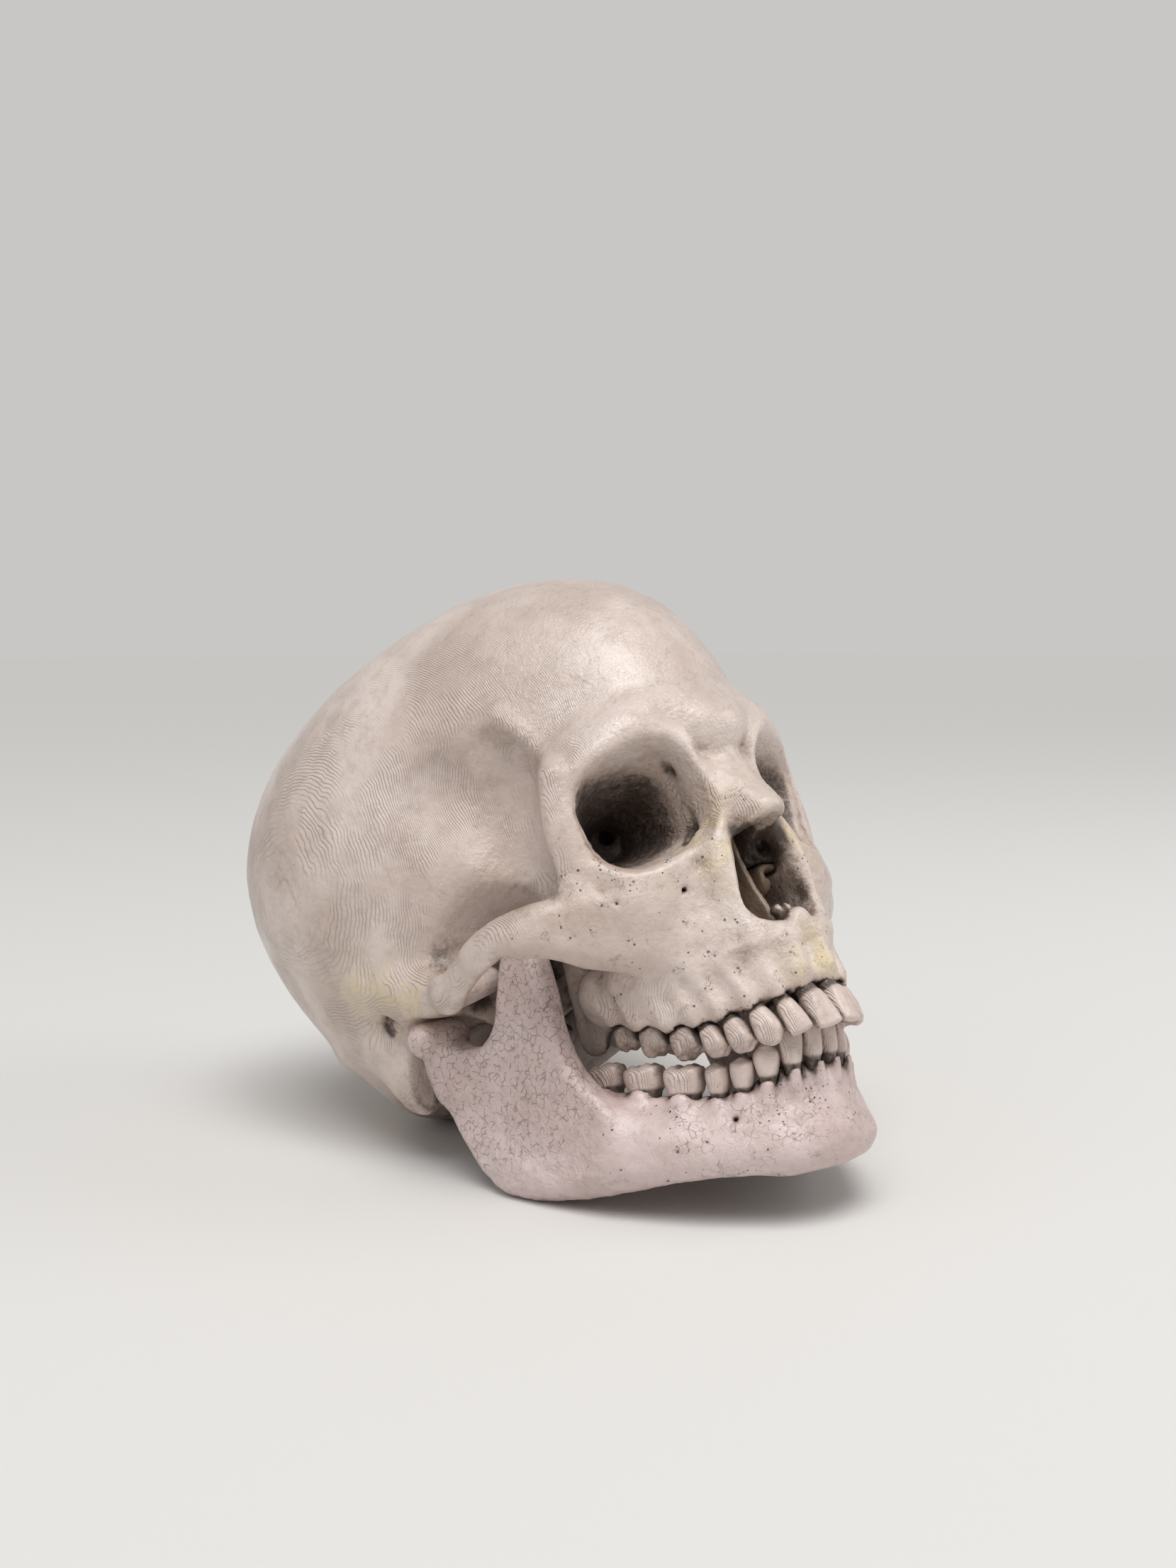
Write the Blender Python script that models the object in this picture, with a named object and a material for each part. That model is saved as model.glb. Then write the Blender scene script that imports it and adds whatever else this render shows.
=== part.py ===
# Life-size anatomical skull model: a hollow cranium, a loose lower jaw that
# hinges in two shallow joint hollows, thirty-two separate teeth set in sockets,
# and the loose little bones of the nose.
#
# Units are metres and +Z is up. The skull faces -Y and its own left is +X. It
# lies as it lies on a table: leaning back on the two angles of the jaw and the
# back of the braincase, with the chin raised.
#
# The bone is worked out in the skull's level pose first: the origin is midway
# between the roofs of the ear holes, and the plane through those and the lower
# rims of the eye sockets is horizontal. Places there are shares of the length of the
# cranial base. The finished pieces are then tilted back onto the table.

import math

import bmesh
import bpy
import numpy as np
import openvdb

# Overall sizes of the skull.
BASE_LENGTH = 0.100
VAULT_WIDTH = 0.143
VAULT_LENGTH = 0.187
VAULT_HEIGHT = 0.175
VAULT_WALL = 0.0065

# Openings.
ORBIT_WIDTH = 0.0400
ORBIT_HEIGHT = 0.0340
ORBIT_DEPTH = 0.0420
NOSE_WIDTH = 0.0250
NOSE_HEIGHT = 0.0285
FORAMEN_WIDTH = 0.0300
FORAMEN_LENGTH = 0.0360
EAR_RADIUS = 0.0032

# Bars and plates of bone.
RIM_RADIUS = 0.0042
ARCH_HEIGHT = 0.0100
ARCH_THICKNESS = 0.0056
RAMUS_THICKNESS = 0.0080
JAW_BASE_RADIUS = 0.0058
JAW_TOP_RADII = (0.0044, 0.0062)
GUM_RADII = (0.0050, 0.0066)
GUM_MARGIN = 0.0004
PLATE_THICKNESS = 0.0032

# The jaw joint.
CONDYLE_LENGTH = 0.0200
CONDYLE_RADIUS = 0.0050
JOINT_CLEARANCE = 0.0004
FOSSA_RADIUS = 0.0085
FOSSA_LENGTH = 0.0290

# Teeth.
ROOT_LENGTH = 0.0060
TOOTH_GAP = 0.0006
CUSP_HEIGHT = 0.0012

# Clearances, the seat on the table, and the mesh the forms are read on.
FIT_GAP = 0.0003
SEAT_DEPTH = 0.0006
OVERRUN = 0.0020
VOXEL = 0.0017

# The pose on the table.
REST_TILT = math.radians(27.4)
REST_RISE = 0.0590
REST_SHIFT = 0.00035

# Counts and ratios.
TAPER_POWER = 1.05
CRANIUM_KEEP_SHARE = 0.036
JAW_KEEP_SHARE = 0.090
TOOTH_SIDES = 10
FENCE_COUNT = 26
ROW_COUNT = 200

# Places and radii below are shares of the cranial base length unless a named
# size is given. Each is written for the skull's left side, +X, and mirrored.

# How softly one form runs into the next.
CRISP_BLEND_SHARE = 0.012
FINE_BLEND_SHARE = 0.020
RIM_BLEND_SHARE = 0.030
EDGE_BLEND_SHARE = 0.040
FORM_BLEND_SHARE = 0.050
SOFT_BLEND_SHARE = 0.060
BROAD_BLEND_SHARE = 0.080
FLOOR_BLEND_SHARE = 0.100

# The braincase: one egg, with its swellings and flats pressed out of it.
VAULT_CENTRE_SHARES = (0.0, 0.094, 0.292)
VAULT_TILT = math.radians(26.7)
VAULT_TAPER_SHARES = (0.273, -0.267)
VAULT_PRESS_SHARES = (
    # where, how wide the press is, how far it pushes out
    ((0.62, -0.32, 0.40), (0.20, 0.26, 0.30), -0.030),
    ((0.30, 0.62, -0.34), (0.22, 0.20, 0.16), 0.020),
    ((0.00, 0.66, -0.30), (0.05, 0.24, 0.12), -0.020),
    ((0.00, 0.84, 0.80), (0.34, 0.24, 0.26), -0.065),
)
BASE_TRIM_SHARES = (
    # a point on each flat, how far it faces forward and down, blend
    ((0.0, 0.06, -0.270), (-0.51, -0.86), 0.14),
    ((0.0, 0.60, -0.4030), (-0.46, -0.89), 0.11),
)
TEMPLE_PIT_SHARES = ((0.640, -0.500, 0.215), (0.275, 0.200, 0.370))
TEMPLE_FLOOR_SHARES = ((0.650, -0.370, -0.160), (0.285, 0.290, 0.290))
TEMPLE_HOLLOW_SHARES = ((0.730, -0.370, 0.400), (0.255, 0.190, 0.220))

# The face, forehead to gums.
FACE_FORM_SHARES = (
    # centre, radii, turn about X, Y and Z in degrees, blend
    ((0.000, -0.810, 0.350), (0.140, 0.115, 0.095), (0, 0, 0), 0.08),
    ((0.195, -0.738, 0.402), (0.175, 0.105, 0.065), (0, 8, 14), 0.07),
    ((0.345, -0.645, 0.352), (0.100, 0.075, 0.060), (0, 24, 34), 0.06),
    ((0.250, -0.540, 0.160), (0.200, 0.290, 0.240), (0, 0, 0), 0.08),
    ((0.000, -0.590, 0.090), (0.130, 0.270, 0.210), (0, 0, 0), 0.05),
    ((0.158, -0.620, -0.170), (0.178, 0.205, 0.225), (0, 0, 0), 0.07),
    ((0.395, -0.608, -0.080), (0.095, 0.060, 0.120), (0, 20, 36), 0.06),
    ((0.300, -0.625, -0.120), (0.120, 0.090, 0.120), (0, 0, 20), 0.07),
    ((0.320, -0.690, -0.085), (0.130, 0.082, 0.085), (0, 0, 28), 0.06),
    ((0.215, -0.745, -0.090), (0.090, 0.070, 0.080), (0, 0, 20), 0.05),
    ((0.440, -0.590, -0.110), (0.085, 0.045, 0.085), (0, 0, 44), 0.05),
    ((0.255, -0.520, -0.270), (0.085, 0.090, 0.120), (0, 0, 0), 0.06),
    ((0.090, -0.705, -0.290), (0.130, 0.130, 0.100), (0, 0, 0), 0.05),
    ((0.000, -0.835, 0.140), (0.092, 0.076, 0.170), (-28, 0, 0), 0.05),
)
ORBIT_RIM_SHARES = (
    (0.225, -0.808, 0.360), (0.320, -0.752, 0.342), (0.394, -0.684, 0.290),
    (0.432, -0.640, 0.180), (0.427, -0.638, 0.070), (0.378, -0.690, -0.010),
    (0.280, -0.752, -0.020), (0.190, -0.790, 0.025), (0.140, -0.805, 0.110),
    (0.125, -0.815, 0.210), (0.150, -0.828, 0.310),
)
NOSE_ROOF_SHARES = (
    (0.000, -0.828, 0.270), (0.000, -0.860, 0.190), (0.000, -0.903, 0.115),
    (0.000, -0.946, 0.062),
)
NOSE_ROOF_RADIUS_SHARE = 0.034
NOSE_SIDE_RADIUS_SHARE = 0.036
NOSE_ROOF_STRETCH = (1.3, 1.0, 1.0)
NOSE_SIDE_SHARES = (
    (0.090, -0.820, 0.200), (0.110, -0.840, 0.070), (0.145, -0.845, -0.060),
    (0.155, -0.840, -0.180), (0.120, -0.850, -0.260), (0.030, -0.875, -0.265),
)
CHEEK_POST_SHARES = (
    (0.432, -0.640, 0.300), (0.452, -0.625, 0.200), (0.458, -0.618, 0.090),
    (0.455, -0.615, -0.040),
)
CHEEK_EDGE_SHARES = (
    (0.310, -0.655, -0.205), (0.370, -0.628, -0.192), (0.432, -0.600, -0.168),
    (0.508, -0.560, -0.130), (0.585, -0.495, -0.088),
)
ARCH_SHARES = (
    (0.450, -0.618, -0.065), (0.552, -0.545, -0.052), (0.615, -0.455, -0.055),
    (0.640, -0.350, -0.075), (0.632, -0.240, -0.105), (0.612, -0.150, -0.115),
    (0.600, -0.060, -0.085), (0.610, 0.050, -0.035), (0.620, 0.170, 0.020),
)
TUBERCLE_SHARES = (
    (0.610, -0.150, -0.115), (0.540, -0.140, -0.110), (0.450, -0.130, -0.090),
)
RIDGE_SHARES = (
    # lines that stand up from the surface: path, how wide, how far
    (((0.615, 0.060, -0.020), (0.622, 0.200, 0.030), (0.600, 0.340, 0.090)), 0.035, 0.030),
    (((0.000, 0.930, -0.020), (0.140, 0.910, -0.040), (0.320, 0.820, -0.070),
      (0.480, 0.640, -0.100), (0.570, 0.430, -0.120), (0.590, 0.240, -0.160)), 0.035, 0.022),
    (((0.450, -0.655, 0.320), (0.430, -0.600, 0.430), (0.440, -0.510, 0.560)), 0.024, 0.012),
    (((0.445, -0.500, 0.580), (0.480, -0.400, 0.670), (0.540, -0.260, 0.720), (0.600, -0.050, 0.750)), 0.030, 0.005),
)
TEMPLE_CUTS = (
    (TEMPLE_PIT_SHARES, EDGE_BLEND_SHARE),
    (TEMPLE_FLOOR_SHARES, BROAD_BLEND_SHARE),
    (TEMPLE_HOLLOW_SHARES, BROAD_BLEND_SHARE),
)
TEMPLE_WALL_SHARES = ((0.500, -0.478, 0.215), (0.800, -0.478, 0.215))
TEMPLE_WALL_RADIUS_SHARE = 0.118
TEMPLE_WALL_STRETCH = (1, 1, 2.9)
BASE_FORM_SHARES = (
    ((0.520, 0.245, -0.150), (0.078, 0.118, 0.222), (-8, 0, 0), 0.07),
    ((0.530, 0.020, -0.065), (0.095, 0.150, 0.085), (0, 0, 0), 0.06),
    ((0.330, 0.010, -0.170), (0.230, 0.090, 0.090), (0, 0, 22), 0.05),
    ((0.000, -0.130, -0.130), (0.150, 0.220, 0.110), (32, 0, 0), 0.06),
    ((0.170, 0.080, -0.265), (0.055, 0.125, 0.060), (0, 0, -24), 0.02),
    ((0.420, 0.150, -0.250), (0.022, 0.022, 0.070), (-20, 0, 0), 0.02),
    ((0.000, -0.400, 0.020), (0.120, 0.200, 0.110), (0, 0, 0), 0.06),
)
WING_PLATE_SHARES = (
    ((0.230, -0.290, -0.020), (0.265, -0.285, -0.330), 0.020, 0.065),
    ((0.150, -0.310, -0.020), (0.160, -0.310, -0.330), 0.018, 0.050),
)
BASE_CUT_SHARES = (
    # behind the condyle, where the jaw swings back as it opens
    ((0.530, 0.070, -0.330), (0.110, 0.125, 0.150), (0, 0, 0), 0.03),
    ((0.240, 0.030, -0.275), (0.035, 0.035, 0.060), (0, 0, 0), 0.01),
    ((0.300, 0.100, -0.280), (0.050, 0.040, 0.060), (0, 0, 0), 0.01),
    ((0.440, 0.230, -0.400), (0.025, 0.150, 0.090), (0, 0, -12), 0.03),
)

EAR_SHARES = ((0.720, 0.175, -0.105), (0.490, 0.130, -0.115))
FORAMEN_SHARES = ((0.0, 0.20, -0.60), (0.0, 0.24, 0.0))
BRAIN_FLOOR_SHARES = (
    # how far back, how high
    (-0.90, 0.46), (-0.42, 0.42), (-0.30, 0.10), (0.00, 0.04), (0.12, -0.16), (0.70, -0.20),
)

# Hollows of the face.
CANINE_HOLLOW_SHARES = ((0.290, -0.900, -0.170), (0.110, 0.085, 0.110))
ORBIT_MOUTH_SHARES = (0.300, -0.820, 0.155)
ORBIT_APEX_SHARES = (0.130, -0.430, 0.165)
ORBIT_APEX_RADIUS_SHARE = 0.045
NOSE_SILL_SHARE = -0.243
NOSE_OUTLINE_SHARES = (
    # half widths and heights as shares of the nose's width and height
    (0.00, 0.02), (0.20, 0.00), (0.40, 0.07), (0.50, 0.23), (0.48, 0.45),
    (0.37, 0.71), (0.22, 0.92), (0.00, 1.00),
)
NOSE_REACH_SHARES = (-1.150, -0.360)
NOSE_SLOT_SHARES = (
    # the high narrow part, then the wide floor over the palate
    ((0.000, -0.640, 0.050), (0.048, 0.200, 0.150)),
    ((0.000, -0.640, -0.140), (0.160, 0.270, 0.100)),
)

# The upper gum and palate.
UPPER_ROW_SHARES = (
    (0.000, -0.930), (0.082, -0.912), (0.146, -0.858), (0.188, -0.795),
    (0.220, -0.718), (0.243, -0.632), (0.262, -0.530), (0.272, -0.400),
    (0.277, -0.372),
)
UPPER_ROOT_ROW_SHARES = (
    (0.000, -0.862), (0.072, -0.846), (0.128, -0.795), (0.172, -0.738),
    (0.210, -0.676), (0.238, -0.601), (0.260, -0.515), (0.270, -0.400),
    (0.275, -0.376),
)
UPPER_NECK_SHARES = (-0.440, -0.444, -0.446, -0.447, -0.444, -0.424, -0.382, -0.330, -0.314)
UPPER_GUM_TOP_SHARE = -0.255
PALATE_CENTRE_SHARES = (0.000, -0.620, -0.275)
PALATE_RADII_SHARES = (0.270, 0.300, 0.045)
PALATE_VAULT_SHARES = ((0.000, -0.620, -0.400), (0.215, 0.260, 0.110))

# The lower jaw.
LOWER_BASE_SHARES = (
    (0.000, -0.742, -0.806), (0.080, -0.732, -0.808), (0.168, -0.682, -0.788),
    (0.255, -0.600, -0.755), (0.325, -0.490, -0.730), (0.385, -0.370, -0.712),
    (0.425, -0.250, -0.692), (0.455, -0.140, -0.660), (0.475, -0.050, -0.620),
)
LOWER_TOP_SHARES = (
    (0.000, -0.778, -0.600), (0.062, -0.767, -0.602), (0.113, -0.730, -0.609),
    (0.156, -0.680, -0.618), (0.200, -0.620, -0.619), (0.245, -0.540, -0.596),
    (0.288, -0.438, -0.556), (0.322, -0.330, -0.508), (0.348, -0.235, -0.482),
)
LOWER_ROW_SHARES = (
    (0.000, -0.852), (0.066, -0.840), (0.121, -0.797), (0.164, -0.735),
    (0.202, -0.665), (0.240, -0.578), (0.272, -0.475), (0.302, -0.350),
    (0.324, -0.245),
)
LOWER_ROOT_ROW_SHARES = (
    (0.000, -0.792), (0.063, -0.781), (0.115, -0.744), (0.158, -0.692),
    (0.202, -0.628), (0.246, -0.545), (0.284, -0.456), (0.318, -0.340),
    (0.340, -0.240),
)
LOWER_NECK_SHARES = (-0.600, -0.602, -0.610, -0.620, -0.620, -0.596, -0.556, -0.508, -0.480)
CHIN_FORM_SHARES = (
    ((0.000, -0.755, -0.795), (0.090, 0.055, 0.070), (0, 0, 0), 0.05),
    ((0.125, -0.722, -0.812), (0.060, 0.045, 0.035), (0, 0, 20), 0.06),
    ((0.380, -0.370, -0.620), (0.045, 0.200, 0.050), (24, 0, -18), 0.08),
)
RAMUS_OUTLINE_SHARES = (
    (-0.330, -0.030), (-0.365, -0.090), (-0.360, -0.200), (-0.350, -0.330),
    (-0.365, -0.440), (-0.430, -0.560), (-0.420, -0.705), (-0.250, -0.705),
    (-0.080, -0.680), (0.020, -0.620), (0.065, -0.510), (0.095, -0.380),
    (0.108, -0.270), (0.095, -0.205), (0.020, -0.215), (-0.035, -0.255),
    (-0.100, -0.262), (-0.160, -0.220), (-0.215, -0.130), (-0.270, -0.040),
)
RAMUS_LEAN_SHARES = (0.508, 0.205, 0.020)
CONDYLE_SHARES = (0.530, 0.055, -0.190)
NECK_SHARES = ((0.530, 0.058, -0.205), (0.520, 0.065, -0.330))
NECK_RADIUS_SHARE = 0.046


def length(shares):
    """Shares of the cranial base length, as metres."""
    return np.asarray(shares, dtype=float) * BASE_LENGTH


def turned(degrees):
    """A rotation about X, then Y, then Z."""
    a, b, c = (math.radians(v) for v in degrees)
    about_x = np.array([[1, 0, 0], [0, math.cos(a), -math.sin(a)], [0, math.sin(a), math.cos(a)]])
    about_y = np.array([[math.cos(b), 0, math.sin(b)], [0, 1, 0], [-math.sin(b), 0, math.cos(b)]])
    about_z = np.array([[math.cos(c), -math.sin(c), 0], [math.sin(c), math.cos(c), 0], [0, 0, 1]])
    return about_z @ about_y @ about_x


def smooth_path(points, closed=False, steps=5):
    """A curve through the points, as a finer run of points."""
    p = np.asarray(points, dtype=float)
    if closed:
        p = np.vstack([p[-1:], p, p[:2]])
    else:
        p = np.vstack([2 * p[0] - p[1], p, 2 * p[-1] - p[-2]])
    out = []
    for i in range(1, len(p) - 2):
        for j in range(steps):
            t = j / steps
            a, b, c, d = p[i - 1], p[i], p[i + 1], p[i + 2]
            out.append(0.5 * (2 * b + (c - a) * t + (2 * a - 5 * b + 4 * c - d) * t * t
                              + (3 * b - a - 3 * c + d) * t ** 3))
    if not closed:
        out.append(p[-2])
    return np.array(out)


def blend_min(a, b, k):
    """The nearer of two distances, rounded where they meet."""
    h = np.clip(0.5 + 0.5 * (b - a) / k, 0, 1)
    return b + (a - b) * h - k * h * (1 - h)


class Ball:
    """An ellipsoid, which may be turned."""

    def __init__(self, centre, radii, turn=(0, 0, 0)):
        self.centre = np.asarray(centre, dtype=float)
        self.radii = np.asarray(radii, dtype=float)
        self.axes = turned(turn).T
        reach = np.abs(turned(turn)) @ self.radii
        self.low, self.high = self.centre - reach, self.centre + reach

    def distance(self, x, y, z):
        c = self.centre
        near = far = 0.0
        for row, r in zip(self.axes, self.radii):
            u = row[0] * (x - c[0]) + row[1] * (y - c[1]) + row[2] * (z - c[2])
            near = near + (u / r) ** 2
            far = far + (u / r ** 2) ** 2
        near = np.sqrt(near)
        return near * (near - 1) / np.maximum(np.sqrt(far), 1e-9)


class Egg:
    """An ellipsoid tilted about X that widens and flattens towards the back."""

    def __init__(self, centre, radii, tilt, tapers):
        self.centre, self.radii, self.tapers = np.asarray(centre), radii, tapers
        self.cos, self.sin = math.cos(tilt), math.sin(tilt)
        reach = max(radii) * (1 + max(abs(v) for v in tapers))
        self.low, self.high = self.centre - reach, self.centre + reach

    def distance(self, x, y, z):
        y, z = y - self.centre[1], z - self.centre[2]
        y, z = self.cos * y + self.sin * z, self.cos * z - self.sin * y
        v = y / self.radii[1]
        t = np.clip(v, -1.2, 1.2)
        wide = self.radii[0] * (1 + self.tapers[0] * t)
        tall = self.radii[2] * (1 + self.tapers[1] * t)
        near = np.sqrt((x / wide) ** 2 + v ** 2 + (z / tall) ** 2)
        far = np.sqrt((x / wide ** 2) ** 2 + (y / self.radii[1] ** 2) ** 2 + (z / tall ** 2) ** 2)
        return near * (near - 1) / np.maximum(far, 1e-9)


class Rod:
    """A bar along a run of points; stretch makes it flat along an axis."""

    def __init__(self, points, radii, stretch=(1, 1, 1)):
        self.stretch = np.asarray(stretch, dtype=float)
        self.points = np.asarray(points, dtype=float)
        self.radii = np.broadcast_to(np.asarray(radii, dtype=float), len(self.points))
        reach = self.radii.max() * self.stretch
        self.low = self.points.min(0) - reach
        self.high = self.points.max(0) + reach

    def distance(self, x, y, z):
        s = self.stretch
        best = None
        for a, b, ra, rb in zip(self.points, self.points[1:], self.radii, self.radii[1:]):
            a, b = a / s, b / s
            line = b - a
            size = float(line @ line)
            ux, uy, uz = x / s[0] - a[0], y / s[1] - a[1], z / s[2] - a[2]
            t = np.clip((ux * line[0] + uy * line[1] + uz * line[2]) / size, 0, 1)
            d = np.sqrt((ux - t * line[0]) ** 2 + (uy - t * line[1]) ** 2
                        + (uz - t * line[2]) ** 2) - (ra + t * (rb - ra))
            best = d if best is None else np.minimum(best, d)
        return best * s.min()


class Fence:
    """Upright bars side by side from a lower path to an upper one."""

    def __init__(self, lower, upper, low_radii, high_radii, blend):
        runs = zip(lower, upper, np.linspace(*low_radii, len(lower)), np.linspace(*high_radii, len(lower)))
        self.bars = [Rod([a, b], (low, high)) for a, b, low, high in runs]
        self.blend = blend
        self.low = np.min([bar.low for bar in self.bars], axis=0)
        self.high = np.max([bar.high for bar in self.bars], axis=0)

    def distance(self, x, y, z):
        best = self.bars[0].distance(x, y, z)
        for bar in self.bars[1:]:
            best = blend_min(best, bar.distance(x, y, z), self.blend)
        return best


def outline_distance(outline, u, v):
    """Distance to a closed outline in a plane, negative inside it."""
    best = np.full(np.broadcast(u, v).shape, np.inf)
    inside = np.zeros(best.shape, dtype=bool)
    for a, b in zip(outline, np.roll(outline, -1, axis=0)):
        e = b - a
        du, dv = u - a[0], v - a[1]
        t = np.clip((du * e[0] + dv * e[1]) / float(e @ e), 0, 1)
        best = np.minimum(best, (du - t * e[0]) ** 2 + (dv - t * e[1]) ** 2)
        if a[1] != b[1]:
            between = (a[1] > v) != (b[1] > v)
            inside ^= between & (u < a[0] + (v - a[1]) * e[0] / e[1])
    return np.where(inside, -1.0, 1.0) * np.sqrt(best)


class Plate:
    """A plate cut to an outline in Y and Z, lying about x = a + b*y + c*z."""

    def __init__(self, outline, lie, half, rounding):
        self.outline = smooth_path(outline, closed=True, steps=4)
        self.lie, self.half, self.rounding = lie, half, rounding
        low, high = self.outline.min(0), self.outline.max(0)
        xs = [lie[0] + lie[1] * a + lie[2] * b for a in (low[0], high[0]) for b in (low[1], high[1])]
        self.low = np.array([min(xs) - half, low[0], low[1]])
        self.high = np.array([max(xs) + half, high[0], high[1]])

    def distance(self, x, y, z):
        flat = outline_distance(self.outline, y, z) + self.rounding
        side = np.abs(x - (self.lie[0] + self.lie[1] * y + self.lie[2] * z)) - self.half + self.rounding
        corner = np.sqrt(np.maximum(flat, 0) ** 2 + np.maximum(side, 0) ** 2)
        return np.minimum(np.maximum(flat, side), 0) + corner - self.rounding


class Tunnel:
    """An outline in X and Z swept along Y."""

    def __init__(self, outline, reach, rounding):
        self.outline = smooth_path(outline, closed=True, steps=4)
        self.reach, self.rounding = reach, rounding
        low, high = self.outline.min(0), self.outline.max(0)
        self.low = np.array([low[0], reach[0], low[1]])
        self.high = np.array([high[0], reach[1], high[1]])

    def distance(self, x, y, z):
        middle, half = sum(self.reach) / 2, (self.reach[1] - self.reach[0]) / 2
        return np.maximum(outline_distance(self.outline, x, z), np.abs(y - middle) - half)


class Socket:
    """A tapering hollow with a squarish mouth, from a mouth to an apex."""

    def __init__(self, mouth, apex, wide, high, tip, overrun, droop):
        self.mouth, self.apex = np.asarray(mouth), np.asarray(apex)
        self.wide, self.tall, self.tip, self.overrun = wide, high, tip, overrun
        self.along = self.apex - self.mouth
        self.depth = float(np.linalg.norm(self.along))
        self.along = self.along / self.depth
        across = np.cross(self.along, (0, 0, 1))
        across = across / np.linalg.norm(across)
        upright = np.cross(across, self.along)
        c, s = math.cos(droop), math.sin(droop)
        self.across, self.upright = c * across + s * upright, c * upright - s * across
        reach = max(wide, high)
        ends = np.array([self.mouth - self.along * overrun, self.apex])
        self.low, self.high = ends.min(0) - reach, ends.max(0) + reach

    def distance(self, x, y, z):
        m = self.mouth
        u, v, w = (row[0] * (x - m[0]) + row[1] * (y - m[1]) + row[2] * (z - m[2])
                   for row in (self.across, self.upright, self.along))
        t = np.clip(w / self.depth, -self.overrun / self.depth, 1)
        taper = np.clip(1 - np.maximum(t, 0) ** TAPER_POWER, 0, 1)
        a = self.tip + (self.wide - self.tip) * taper
        b = self.tip + (self.tall - self.tip) * taper
        ring = (np.abs(u / a) ** 2.7 + np.abs(v / b) ** 2.7) ** (1 / 2.7)
        side = (ring - 1) * np.minimum(a, b)
        return np.maximum(side, w - self.depth)


class Bone:
    """A block of space holding the distance to a bone's surface, for x >= 0."""

    def __init__(self, low, high, step):
        self.step = step
        self.axes = [a + step * np.arange(int(round((b - a) / step)) + 1) for a, b in zip(low, high)]
        self.d = np.full([len(a) for a in self.axes], BASE_LENGTH, dtype=np.float32)

    def part(self, low, high):
        cut = []
        for axis, a, b in zip(self.axes, low, high):
            first, last = np.searchsorted(axis, a), np.searchsorted(axis, b)
            cut.append(slice(max(int(first) - 1, 0), min(int(last) + 1, len(axis))))
        x, y, z = (axis[c].astype(np.float32) for axis, c in zip(self.axes, cut))
        return tuple(cut), x[:, None, None], y[None, :, None], z[None, None, :]

    def join(self, shape, blend):
        reach = blend + 2 * self.step
        cut, x, y, z = self.part(shape.low - reach, shape.high + reach)
        if self.d[cut].size:
            self.d[cut] = blend_min(self.d[cut], shape.distance(x, y, z), blend)

    def cut(self, shape, blend):
        reach = blend + 2 * self.step
        cut, x, y, z = self.part(shape.low - reach, shape.high + reach)
        if self.d[cut].size:
            self.d[cut] = -blend_min(-self.d[cut], shape.distance(x, y, z), blend)

    def press(self, centre, size, amount):
        """Pushes the surface out around a point by a bell-shaped amount."""
        reach = 3 * np.asarray(size)
        cut, x, y, z = self.part(centre - reach, centre + reach)
        if self.d[cut].size:
            q = ((x - centre[0]) / size[0]) ** 2 + ((y - centre[1]) / size[1]) ** 2
            q = q + ((z - centre[2]) / size[2]) ** 2
            self.d[cut] -= (amount * np.exp(-0.5 * q)).astype(np.float32)

    def ridge(self, path, size, amount):
        """Pushes the surface out along a line that lies on it."""
        line = Rod(smooth_path(path, steps=3), 0)
        cut, x, y, z = self.part(line.low - 3 * size, line.high + 3 * size)
        if self.d[cut].size:
            away = line.distance(x, y, z) / size
            self.d[cut] -= (amount * np.exp(-0.5 * away ** 2)).astype(np.float32)

    def surface(self):
        """Points and faces of the whole bone, both sides of the middle plane."""
        whole = np.concatenate([self.d[:0:-1], self.d])
        grid = openvdb.FloatGrid(float(BASE_LENGTH / self.step))
        grid.copyFromArray(np.ascontiguousarray(whole / self.step))
        points, triangles, quads = grid.convertToPolygons(isovalue=0.0)
        start = np.array([-self.axes[0][-1], self.axes[1][0], self.axes[2][0]])
        faces = [tuple(int(i) for i in f) for f in triangles] + [tuple(int(i) for i in f) for f in quads]
        return points * self.step + start, faces


def add_forms(bone, table):
    for centre, radii, turn, blend in table:
        bone.join(Ball(length(centre), length(radii), turn), length(blend))


def condyle(grow):
    """The jaw's cross-wise knuckle, blunt at both ends."""
    half = (CONDYLE_LENGTH / 2 - CONDYLE_RADIUS, 0, 0)
    middle = length(CONDYLE_SHARES)
    return Rod((middle - half, middle + half), CONDYLE_RADIUS + grow)


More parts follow.
